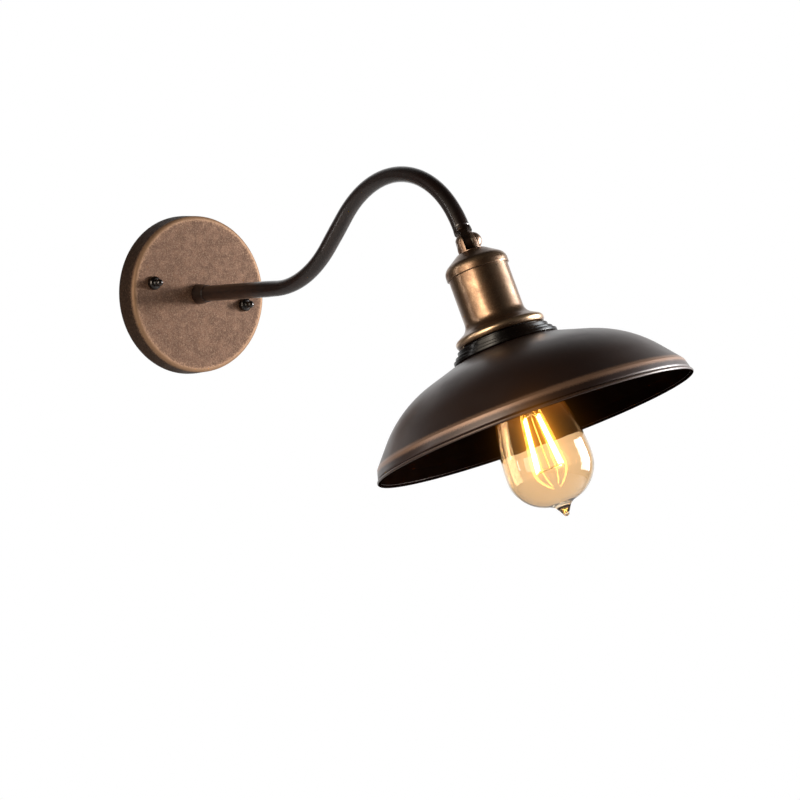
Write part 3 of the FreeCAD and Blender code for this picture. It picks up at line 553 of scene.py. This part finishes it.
def canopy_line(side):
    """The dish from its rim at the wall, round its shoulder and in to its bore."""
    lean = math.radians(CANOPY_DRAFT)
    pen = Pen(CANOPY_RADIUS, 0, ALONG, CANOPY_STEP, side)
    pen.go(CANOPY_RIM).turn(CANOPY_LEAN_RADIUS, CANOPY_DRAFT)
    rounded = CANOPY_SHOULDER * (1 - math.sin(lean))
    pen.go((CANOPY_DEPTH - rounded - pen.z) / math.cos(lean))
    pen.turn(CANOPY_SHOULDER, CANOPY_WORN_AT).worn(*CANOPY_WEAR).worn(*CANOPY_WEAR_WIDE)
    pen.turn(CANOPY_SHOULDER, 90 - CANOPY_DRAFT - CANOPY_WORN_AT)
    return pen.go(pen.r - CANOPY_BORE)


def canopy_relief(spot, _):
    """Shallow unevenness of a pressed and hand-finished plate, nearly always inwards."""
    depth = uneven(spot, CANOPY_HOLLOW, CANOPY_WAVES)
    return spot - Vector((0, 0, depth * spot.z / CANOPY_DEPTH))


def drill_stud_holes(dish):
    for side in (-1, 1):
        spot = canopy_frame @ ((stud_offset(side) + Vector((0, 0, CANOPY_DEPTH))) * MM)
        bpy.ops.mesh.primitive_cylinder_add(
            vertices=STUD_HOLE_SIDES, radius=STUD_HOLE_RADIUS * MM, depth=DRILL_LENGTH * MM,
            location=spot, rotation=(math.pi / 2, 0, 0))
        drill = bpy.context.object
        cut = dish.modifiers.new("drill", "BOOLEAN")
        cut.object = drill
        cut.operation = "DIFFERENCE"
        bpy.context.view_layer.objects.active = dish
        bpy.ops.object.modifier_apply(modifier="drill")
        bpy.data.objects.remove(drill)


section, ridges = shell_loop(canopy_line, CANOPY_WALL)
canopy = turned("canopy_dish", section, canopy_frame, CANOPY_SIDES, ridges, shift=canopy_relief)
drill_stud_holes(canopy)
piece(canopy, "wall_and_arm", "canopy_bronze", ["wall_canopy"], canopy_bronze)


# ---- cap nuts -------------------------------------------------------------------------------
NUT_RADIUS = 5.1
NUT_BODY = 4.2
NUT_EDGE = 2.6
NUT_COLLAR = 2.6
NUT_NECK = 1.9
NUT_NECK_LENGTH = 1.4
NUT_NECK_CURVE = 1.4            # the higher, the sooner the collar thins to the neck
NUT_NECK_STEPS = 6
NUT_BALL = 2.8
NUT_BALL_SINK = 0.4
NUT_BALL_STEPS = 14
NUT_BALL_LIGHT_AT = 0.6          # of the ball's radius from its centre, where the ball's top is lightened by rubbed wear and a painted highlight
NUT_BALL_WEAR_AND_HIGHLIGHT = (2.4, 0.35)
NUT_THREAD_RADIUS = 2.0
NUT_THREAD_DEPTH = 4.6
NUT_STEP = 1.0
NUT_SIDES = 56


def cap_nut_line():
    """The threaded hole, the flat foot, the rounded body, the neck and the ball."""
    start = CANOPY_DEPTH
    hole = Pen(0, start + NUT_THREAD_DEPTH, OUTWARDS, NUT_STEP).go(NUT_THREAD_RADIUS)
    foot = Pen(NUT_THREAD_RADIUS, start, OUTWARDS, NUT_STEP).go(NUT_RADIUS - NUT_THREAD_RADIUS)
    body = Pen(NUT_RADIUS, start, ALONG, NUT_STEP).go(NUT_BODY - NUT_EDGE).turn(NUT_EDGE, 90)
    line = hole.points + foot.points + body.points
    top = start + NUT_BODY
    for k in range(NUT_NECK_STEPS + 1):
        share = k / NUT_NECK_STEPS
        swell = math.cos(share * math.pi / 2) ** NUT_NECK_CURVE
        line.append((NUT_NECK + (NUT_COLLAR - NUT_NECK) * swell,
                     top + NUT_NECK_LENGTH * share, OUTER_FINISH))
    centre = top + NUT_NECK_LENGTH + NUT_BALL - NUT_BALL_SINK
    first = math.acos((NUT_BALL - NUT_BALL_SINK) / NUT_BALL)
    for k in range(1, NUT_BALL_STEPS):
        angle = first + (math.pi - first) * k / NUT_BALL_STEPS
        line.append((NUT_BALL * math.sin(angle), centre - NUT_BALL * math.cos(angle),
                     OUTER_FINISH))
    line.append((0.0, centre + NUT_BALL, OUTER_FINISH))
    # The ball's lighter top is rubbed wear and a painted highlight.
    return line, [(0, centre + NUT_BALL * NUT_BALL_LIGHT_AT, *NUT_BALL_WEAR_AND_HIGHLIGHT)]


section, ridges = cap_nut_line()
nuts = turned("cap_nut_pair", section, canopy_frame, NUT_SIDES, ridges, closed=False,
              offsets=(stud_offset(-1), stud_offset(1)))
piece(nuts, "wall_and_arm", "nut_bronze", ["cap_nuts"], nut_bronze)


# ---- collar at the foot of the arm ----------------------------------------------------------
COLLAR_RADIUS = 7.6
COLLAR_EDGE = 0.4
COLLAR_FOOT = 1.4
COLLAR_TAPER = 9                # degrees that the side leans in
COLLAR_LEAN_RADIUS = 6.0
COLLAR_SIDE = 6.0
COLLAR_NECK_RADIUS = 10.0
COLLAR_NECK = 0.9
COLLAR_LIP = 0.3
COLLAR_FLOOR = 1.5
COLLAR_BORE = 6.1
COLLAR_STEP = 0.8
COLLAR_SIDES = 96
COLLAR_TOP = CANOPY_DEPTH + COLLAR_FLOOR


def collar_line():
    """A small bell whose side flows into the tube."""
    pen = Pen(CANOPY_BORE, CANOPY_DEPTH, OUTWARDS, COLLAR_STEP)
    pen.go(COLLAR_RADIUS - CANOPY_BORE - COLLAR_EDGE).turn(COLLAR_EDGE, 90)
    pen.go(COLLAR_FOOT).turn(COLLAR_LEAN_RADIUS, COLLAR_TAPER).go(COLLAR_SIDE)
    pen.turn(COLLAR_NECK_RADIUS, -COLLAR_TAPER).go(COLLAR_NECK).turn(COLLAR_LIP, 90, FINE_ARC)
    return pen.points + [
        (COLLAR_BORE, pen.z, OUTER_FINISH),
        (COLLAR_BORE, COLLAR_TOP, OUTER_FINISH),
        (CANOPY_BORE, COLLAR_TOP, OUTER_FINISH)]


collar = turned("arm_collar", collar_line(), canopy_frame, COLLAR_SIDES)
piece(collar, "wall_and_arm", "arm_brown", ["base_collar"], arm_brown)


# ---- gooseneck ------------------------------------------------------------------------------
TUBE_RADIUS = 6.0
TUBE_BORE = 5.0
TUBE_START = COLLAR_TOP
TUBE_SIDES = 48
TUBE_STEP = 2.0
TUBE_HOLLOW = 0.04
TUBE_WAVES = ((0.03, 30 * MM), (0.004, 9 * MM))     # heights in millimetres, sizes in metres
BEND_FLAT = 0.09
BEND_EASE = 6                   # path points on each side over which a bend's flattening fades
# A run has its length, and an arc its radius and the degrees that it turns the arm upwards.
ARM_RUNS = (("run", 100.0), ("arc", 88.1, 45.9), ("run", 28.2), ("arc", 81.6, -103.8), ("run", 4.0))


def arm_path():
    """Points of the arm's centreline, in the plane x = 0."""
    reach, height, heading = TUBE_START, 0.0, 0.0
    path = [(reach, height)]
    for kind, size, *turns in ARM_RUNS:
        length = size if kind == "run" else size * math.radians(abs(turns[0]))
        count = math.ceil(length / TUBE_STEP)
        turn = math.radians(turns[0]) / count if kind == "arc" else 0.0
        chord = 2 * size * math.sin(abs(turn) / 2) if turn else length / count
        for _ in range(count):
            heading += turn / 2
            reach += chord * math.cos(heading)
            height += chord * math.sin(heading)
            heading += turn / 2
            path.append((reach, height))
    return [Vector((0, -reach, height)) * MM for reach, height in path]


def arm_relief(spot):
    """Slight flats left by bending, always inwards."""
    return -uneven(spot, TUBE_HOLLOW, TUBE_WAVES) * MM


def bend_flats(path):
    """The share by which bending has flattened the tube at each point of its path."""
    turns = [0.0]
    for before, here, after in zip(path, path[1:], path[2:]):
        turns.append((here - before).angle(after - here) / (after - here).length)
    turns.append(0.0)
    eased = []
    for i in range(len(turns)):
        near = turns[max(0, i - BEND_EASE):i + BEND_EASE + 1]
        eased.append(sum(near) / len(near))
    return [BEND_FLAT * turn / max(eased) for turn in eased]


def tube_with_bore(name):
    """The tube's outer and inner skins, joined by a flat ring at each end."""
    path = arm_path()
    flats = bend_flats(path)
    outer = swept(name, path, TUBE_RADIUS * MM, TUBE_SIDES, RIGHT, flats, arm_relief)
    inner = swept(name + "_bore", path, TUBE_BORE * MM, TUBE_SIDES, RIGHT, flats)
    shape = bmesh.new()
    shape.from_mesh(outer.data)
    count = len(shape.verts)
    shape.from_mesh(inner.data)
    shape.verts.ensure_lookup_table()
    for first in (0, count - TUBE_SIDES):
        for k in range(TUBE_SIDES):
            k2 = (k + 1) % TUBE_SIDES
            end = shape.faces.new((
                shape.verts[first + k], shape.verts[first + k2],
                shape.verts[count + first + k2], shape.verts[count + first + k]))
            end.smooth = True
    bmesh.ops.recalc_face_normals(shape, faces=shape.faces)
    shape.to_mesh(outer.data)
    shape.free()
    bpy.data.objects.remove(inner)
    return outer


gooseneck = tube_with_bore("gooseneck_arm")
piece(gooseneck, "wall_and_arm", "arm_brown", ["gooseneck_tube"], arm_brown)


# ---- socket cap, cup and seat ring ----------------------------------------------------------
HEAD_SIDES = 160
HEAD_STEP = 0.8
REST_GAP = 0.3                  # between parts that rest in one another
SNUG_GAP = 0.1                  # between parts that are pressed together
CAP_TOP = 6.3
CAP_BORE = 6.1
CAP_WALL = 1.0
CAP_FLAT = 2.9
CAP_TOP_EDGE = 2.0
CAP_SLOPE = 34                  # degrees from square to the axis
CAP_SLOPE_LENGTH = 10.0
CAP_SHOULDER = 7.0
CAP_WORN_AT = 30                # degrees round the shoulder to its most rubbed line
CAP_WEAR = (2.6, 0.45)
CAP_SKIRT = 2.6
CUP_WALL = 1.2
CUP_IN_CAP = 3.0
CUP_BARREL = 33.4
CUP_FLARE = 61                  # degrees that the barrel turns outwards
CUP_FLARE_RADIUS = 8.0
CUP_FLARE_LENGTH = 5.0
CUP_LIP_RADIUS = 3.0
CUP_LIP = 90                    # degrees that the lip turns back, and those to its rubbed line
CUP_WORN_AT = 48
CUP_WEAR = (2.2, 0.7)
CUP_LIP_LENGTH = 1.6


def cap_line(side):
    """A bell, from its bore down its slope and round its shoulder to a short skirt."""
    pen = Pen(CAP_BORE, CAP_TOP, OUTWARDS, HEAD_STEP, side)
    pen.go(CAP_FLAT).turn(CAP_TOP_EDGE, CAP_SLOPE).go(CAP_SLOPE_LENGTH)
    pen.turn(CAP_SHOULDER, CAP_WORN_AT).worn(*CAP_WEAR)
    return pen.turn(CAP_SHOULDER, ALONG - CAP_SLOPE - CAP_WORN_AT).go(CAP_SKIRT)


cap_rim = cap_line(0.0)
CUP_RADIUS = cap_rim.r - CAP_WALL - SNUG_GAP
CUP_START = cap_rim.z - CUP_IN_CAP


def cup_line(side):
    """A barrel that flares out to a rounded lip."""
    pen = Pen(CUP_RADIUS, CUP_START, ALONG, HEAD_STEP, side)
    pen.go(CUP_BARREL).turn(CUP_FLARE_RADIUS, -CUP_FLARE).go(CUP_FLARE_LENGTH)
    pen.turn(CUP_LIP_RADIUS, CUP_WORN_AT).worn(*CUP_WEAR)
    return pen.turn(CUP_LIP_RADIUS, CUP_LIP - CUP_WORN_AT).go(CUP_LIP_LENGTH)


cup_end = max(cup_line(0.0).points[-1][1], cup_line(CUP_WALL).points[-1][1])
section, ridges = shell_loop(cap_line, CAP_WALL)
bell = turned("bell_cap", section, head_frame, HEAD_SIDES, ridges)
piece(bell, "head", "head_bronze", ["socket_cap"], head_bronze)
section, ridges = shell_loop(cup_line, CUP_WALL)
cup = turned("flared_cup", section, head_frame, HEAD_SIDES, ridges)
piece(cup, "head", "head_bronze", ["socket_cup"], head_bronze)

HOLDER_RADIUS = CUP_RADIUS - CUP_WALL - REST_GAP
SHADE_BORE = HOLDER_RADIUS + REST_GAP
RING_STEPS = ((1.5, 27.8), (3.2, 31.3), (2.2, 33.8), (2.2, 35.8))      # heights and radii
RING_EDGE = 0.45


def ring_line():
    """The stepped ring's section, and where it ends along the axis."""
    along = cup_end
    line = [(SHADE_BORE, along, OUTER_FINISH)]
    for height, radius in RING_STEPS:
        pen = Pen(radius - RING_EDGE, along, OUTWARDS, HEAD_STEP)
        line += pen.turn(RING_EDGE, 90, FINE_ARC).go(height - RING_EDGE).points
        along += height
    line.append((SHADE_BORE, along, OUTER_FINISH))
    return line, along


section, shade_top = ring_line()
ring = turned("seat_ring", section, head_frame, HEAD_SIDES)
piece(ring, "head", "ring_black", ["shade_seat_ring"], ring_black)


# ---- shade ----------------------------------------------------------------------------------
SHADE_WALL = 1.0
SHADE_FLAT_RADIUS = 32.5
SHADE_TOP_EDGE = 4.0
SHADE_SLOPE = 18.6              # degrees that the upper part falls
SHADE_SLOPE_LENGTH = 26.5
SHADE_DOME = 32.0               # degrees that the dome turns further
SHADE_DOME_RADIUS = 81.0
SHADE_SIDE = 14.8
SHADE_SIDE_STEP = 1.5
RIDGE_SIDE = 2.0                # the straight stretch on each side of the ridge
RIDGE_STEP = 0.5
RIDGE_RADIUS = 2.0
RIDGE_TURN = 12.2               # degrees on each side of the ridge's top
RIDGE_WEAR = (2.9, 0.8)
LIP_LENGTH = 6.1                # from the ridge to the bead's edge
LIP_STEP = 1.0
SHADE_STEP = 2.0
SHADE_SIDES = 256
SHADE_HOLLOW = 0.10
SHADE_WAVES = ((0.06, 26), (0.03, 9))
BEAD_RADIUS = 1.2
BEAD_TURN = 290                 # degrees of the bead's round that show
BEAD_STEPS = 24
BEAD_OUTER_STEPS = 17           # those that have the outer finish
BEAD_WORN_AT = 0.7              # of the bead's radius, both outwards and back along the axis
BEAD_WEAR = (1.5, 0.36)


def shade_line(side):
    """The dome from its bore, over its rubbed ridge to where the bead begins."""
    pen = Pen(SHADE_BORE, shade_top, OUTWARDS, SHADE_STEP, side)
    pen.go(SHADE_FLAT_RADIUS - SHADE_BORE).turn(SHADE_TOP_EDGE, SHADE_SLOPE)
    pen.go(SHADE_SLOPE_LENGTH).turn(SHADE_DOME_RADIUS, SHADE_DOME)
    pen.go(SHADE_SIDE, SHADE_SIDE_STEP).go(RIDGE_SIDE, RIDGE_STEP)
    pen.turn(RIDGE_RADIUS, RIDGE_TURN).worn(*RIDGE_WEAR).turn(RIDGE_RADIUS, RIDGE_TURN)
    return pen.go(RIDGE_SIDE, RIDGE_STEP).go(LIP_LENGTH - BEAD_RADIUS, LIP_STEP)


def shade_loop():
    """Outer face, rolled bead and inner face."""
    outer = shade_line(0.0)
    middle = shade_line(SHADE_WALL / 2)
    inner = shade_line(SHADE_WALL)
    heading = math.radians(middle.heading)
    run = Vector((math.cos(heading), math.sin(heading)))
    centre = Vector(middle.points[-1][:2]) + run * BEAD_RADIUS
    side = Vector((math.sin(heading), -math.cos(heading)))
    line = outer.points[:-1]
    for k in range(BEAD_STEPS + 1):
        angle = math.radians(90 + BEAD_TURN / 2 - BEAD_TURN * k / BEAD_STEPS)
        spot = centre + (side * math.sin(angle) + run * math.cos(angle)) * BEAD_RADIUS
        line.append((spot.x, spot.y, OUTER_FINISH if k < BEAD_OUTER_STEPS else INNER_FINISH))
    line += [(r, z, INNER_FINISH) for r, z, _ in reversed(inner.points[:-1])]
    outer.ridges.append((centre.x + BEAD_RADIUS * BEAD_WORN_AT,
                         centre.y - BEAD_RADIUS * BEAD_WORN_AT, *BEAD_WEAR))
    return line, outer.ridges


def shade_relief(spot, angle):
    """The faint waves of spun sheet, always inwards."""
    depth = uneven(spot, SHADE_HOLLOW, SHADE_WAVES)
    return spot - Vector((math.cos(angle), math.sin(angle), 0)) * depth


section, ridges = shade_loop()
shade = turned("dome_shade", section, head_frame, SHADE_SIDES, ridges, shift=shade_relief)
piece(shade, "head", "shade_brown", ["shade"], shade_brown, shade_inside)


# ---- lamp -----------------------------------------------------------------------------------
LAMP_CAP_RADIUS = 13.2
LAMP_CAP_WALL = 0.4
LAMP_CAP_END = 72.7
LAMP_CAP_SKIRT = 5.0
GLASS_GAP = 0.05                # between the glass and the cap round it
GLASS_WALL = 0.9
GLASS_NECK_RADIUS = LAMP_CAP_RADIUS - LAMP_CAP_WALL - GLASS_GAP
GLASS_START = LAMP_CAP_END - LAMP_CAP_SKIRT + LAMP_CAP_WALL + SNUG_GAP
GLASS_NECK = 10.5
GLASS_FLARE = 17.4              # degrees that the glass widens below its neck
GLASS_FLARE_RADIUS = 40.0
GLASS_SIDE = 30.5
GLASS_SIDE_RADIUS = 125.0
GLASS_BELLY = 60                # degrees
GLASS_BELLY_RADIUS = 26.0
GLASS_BELLY_ARC = 4             # the most degrees between two points of the belly
GLASS_END = 29.5                # degrees
GLASS_END_RADIUS = 27.0
GLASS_END_ARC = 3               # and of the end
GLASS_STEP = 1.6
GLASS_SIDES = 128
NIPPLE_BASE = 5.4
NIPPLE_START = NIPPLE_BASE + 3.0        # the radius at which the glass starts to draw out
NIPPLE_LENGTH = 6.6
NIPPLE_TIP = 2.2
NIPPLE_SINK = 0.45
NIPPLE_PULL = 0.9               # how wide the drawn part stays
NIPPLE_EVEN = 0.35              # the share of its rise that is even along it
NIPPLE_STEPS = 10
TIP_STEPS = 8


def glass_line(side):
    """The teardrop's side from its neck to its end."""
    pen = Pen(GLASS_NECK_RADIUS, GLASS_START, ALONG, GLASS_STEP, side)
    pen.go(GLASS_NECK).turn(GLASS_FLARE_RADIUS, -GLASS_FLARE).go(GLASS_SIDE)
    pen.turn(GLASS_SIDE_RADIUS, GLASS_FLARE)
    pen.turn(GLASS_BELLY_RADIUS, GLASS_BELLY, GLASS_BELLY_ARC)
    return pen.turn(GLASS_END_RADIUS, GLASS_END, GLASS_END_ARC)


def glass_loop():
    """The inner face from its end back to the neck, then the outer face with its drawn tip."""
    outer = glass_line(0.0).points
    inner = glass_line(GLASS_WALL).points
    tip_start = outer[-1][1] - NIPPLE_SINK
    tip_end = tip_start + NIPPLE_LENGTH
    line = [point for point in outer if point[0] > NIPPLE_START]
    last_r, last_z, _ = line[-1]
    for k in range(1, NIPPLE_STEPS + 1):
        share = k / NIPPLE_STEPS
        sweep = share * share * (3 - 2 * share)
        radius = last_r * (1 - share) ** 2
        radius += 2 * share * (1 - share) * NIPPLE_BASE * NIPPLE_PULL
        radius += share * share * NIPPLE_TIP
        rise = NIPPLE_EVEN * share + (1 - NIPPLE_EVEN) * sweep * share
        line.append((radius, last_z + (tip_end - last_z) * rise, OUTER_FINISH))
    for k in range(1, TIP_STEPS):
        angle = math.pi / 2 * k / TIP_STEPS
        line.append((NIPPLE_TIP * math.cos(angle), tip_end + NIPPLE_TIP * math.sin(angle),
                     OUTER_FINISH))
    line.append((0.0, tip_end + NIPPLE_TIP, OUTER_FINISH))
    return [(0.0, inner[-1][1], OUTER_FINISH)] + inner[::-1] + line


glass = turned("bulb_glass", glass_loop(), head_frame, GLASS_SIDES, closed=False)
piece(glass, "lamp", "lamp_glass", ["lamp_glass"], lamp_glass)


# ---- camera ---------------------------------------------------------------------------------
CAMERA_DISTANCE = 2.0
CAMERA_AZIMUTH = math.radians(-33.05)
CAMERA_ELEVATION = math.radians(-2.865)
IMAGE_SIDE = 800.0
FOCAL_PIXELS = 2618.0
SENSOR = 36.0
AIM_X = 186.6
AIM_Y = 295.0
AIM_ROUNDS = 12


def direction(azimuth, elevation):
    flat = math.cos(elevation)
    return Vector((
        math.sin(azimuth) * flat, -math.cos(azimuth) * flat, math.sin(elevation)))


def right_and_up(ahead):
    right = ahead.cross(UP).normalized()
    return right, right.cross(ahead)


def make_camera():
    """Aims so that the canopy's back centre falls on the photograph's pixel."""
    spot = direction(CAMERA_AZIMUTH, CAMERA_ELEVATION) * CAMERA_DISTANCE
    ahead = -spot.normalized()
    for _ in range(AIM_ROUNDS):
        right, up = right_and_up(ahead)
        depth = -spot.dot(ahead)
        x = IMAGE_SIDE / 2 + FOCAL_PIXELS * -spot.dot(right) / depth
        y = IMAGE_SIDE / 2 - FOCAL_PIXELS * -spot.dot(up) / depth
        ahead += right * (x - AIM_X) / FOCAL_PIXELS - up * (y - AIM_Y) / FOCAL_PIXELS
        ahead.normalize()
    right, up = right_and_up(ahead)
    camera = bpy.data.objects.new("camera", bpy.data.cameras.new("camera"))
    camera.data.sensor_width = SENSOR
    camera.data.lens = FOCAL_PIXELS / IMAGE_SIDE * SENSOR
    camera.matrix_world = Matrix((right, up, -ahead)).transposed().to_4x4()
    camera.location = spot
    bpy.context.scene.collection.objects.link(camera)
    bpy.context.scene.camera = camera


make_camera()


# ---- lights ---------------------------------------------------------------------------------
LIGHT_TARGET = Vector((0.03, -0.26, -0.02))
WARM = (1.0, 0.88, 0.72)
PALE = (1.0, 0.97, 0.94)
COOL = (0.88, 0.95, 1.0)


def softbox(name, azimuth, elevation, distance, width, height, radiance, colour, card=False):
    """A rectangular light that faces the lamp, its brightness given as radiance.

    A card lights nothing matt: it only shows in gloss and glass.
    """
    lamp = bpy.data.lights.new(name, "AREA")
    lamp.shape = "RECTANGLE"
    lamp.size = width
    lamp.size_y = height
    lamp.energy = radiance * width * height * math.pi
    lamp.color = colour
    box = bpy.data.objects.new(name, lamp)
    box.visible_diffuse = not card
    away = direction(math.radians(azimuth), math.radians(elevation))
    box.location = LIGHT_TARGET + away * distance
    box.rotation_euler = away.to_track_quat("Z", "Y").to_euler()
    bpy.context.scene.collection.objects.link(box)


softbox("key_right", azimuth=62, elevation=9, distance=1.2, width=0.7, height=0.8,
        radiance=2.2, colour=PALE)
softbox("sun_right", azimuth=62, elevation=6, distance=1.5, width=0.3, height=0.26,
        radiance=88.0, colour=PALE)
softbox("card_right", azimuth=64, elevation=6, distance=1.1, width=0.75, height=0.8,
        radiance=8.0, colour=COOL, card=True)
softbox("fill_left", azimuth=-68, elevation=8, distance=1.4, width=0.34, height=0.8,
        radiance=5.0, colour=WARM)
softbox("card_left", azimuth=-78, elevation=6, distance=1.4, width=1.0, height=1.2,
        radiance=3.6, colour=WARM, card=True)
softbox("strip_left", azimuth=-116, elevation=4, distance=1.3, width=0.08, height=1.0,
        radiance=8.0, colour=PALE)


# ---- floor and surroundings -----------------------------------------------------------------
FLOOR_RADIUS = 1.5
FLOOR_PLACE = (0, -0.2, -0.62)
FLOOR_SIDES = 96
BACK_BAND = (0.5, 0.97)         # where the surroundings turn from dark to bright, as a cosine
SIDE_STRENGTH = 0.02
BACK_STRENGTH = 0.9


def make_floor():
    mesh = bpy.data.meshes.new("studio_floor")
    shape = bmesh.new()
    bmesh.ops.create_circle(shape, cap_ends=True, segments=FLOOR_SIDES, radius=FLOOR_RADIUS)
    shape.to_mesh(mesh)
    shape.free()
    floor = bpy.data.objects.new("studio_floor", mesh)
    floor.location = FLOOR_PLACE
    bpy.context.scene.collection.objects.link(floor)
    mesh.materials.append(
        Finish("studio_floor").set(Base_Color=grey(0.82), Roughness=0.9).material)


def make_surroundings():
    """White to the camera and through glass; other rays find it bright only beyond the lamp."""
    world = bpy.data.worlds.new("studio")
    bpy.context.scene.world = world
    world.use_nodes = True
    sky = Nodes(world.node_tree, "ShaderNode")
    way = sky.node("TexCoord", {}).outputs["Generated"]
    behind = sky.node("VectorMath", {0: way, 1: -direction(CAMERA_AZIMUTH, 0.0)},
                      operation="DOT_PRODUCT").outputs["Value"]
    reflected = sky.span(behind, BACK_BAND, SIDE_STRENGTH, BACK_STRENGTH)
    ray = sky.node("LightPath", {}).outputs
    seen = sky.maths("MAXIMUM", ray["Is Camera Ray"], ray["Is Transmission Ray"])
    strength = sky.node("Mix", {0: seen, 2: reflected, 3: 1.0}).outputs[0]
    backdrop = sky.tree.nodes["Background"]
    sky.join(grey(1.0), backdrop.inputs["Color"])
    sky.join(strength, backdrop.inputs["Strength"])


make_floor()
make_surroundings()


# ---- picture --------------------------------------------------------------------------------
BLOOM_THRESHOLD = 3.0
BLOOM_SIZE = 0.2
BLOOM_TINT = (1.0, 0.72, 0.34, 1)


def add_bloom():
    """A soft amber bloom round the lit filaments."""
    bpy.context.scene.use_nodes = True
    picture = Nodes(bpy.context.scene.node_tree, "CompositorNode")
    picture.tree.nodes.clear()
    layers = picture.node("RLayers", {})
    bloom = picture.node("Glare", {
        "Image": layers.outputs["Image"], "Threshold": BLOOM_THRESHOLD, "Size": BLOOM_SIZE,
        "Strength": 1.0, "Tint": BLOOM_TINT}, glare_type="FOG_GLOW", quality="HIGH")
    picture.node("Composite", {"Image": bloom.outputs["Image"]})


bpy.context.scene.view_settings.view_transform = "Standard"
add_bloom()
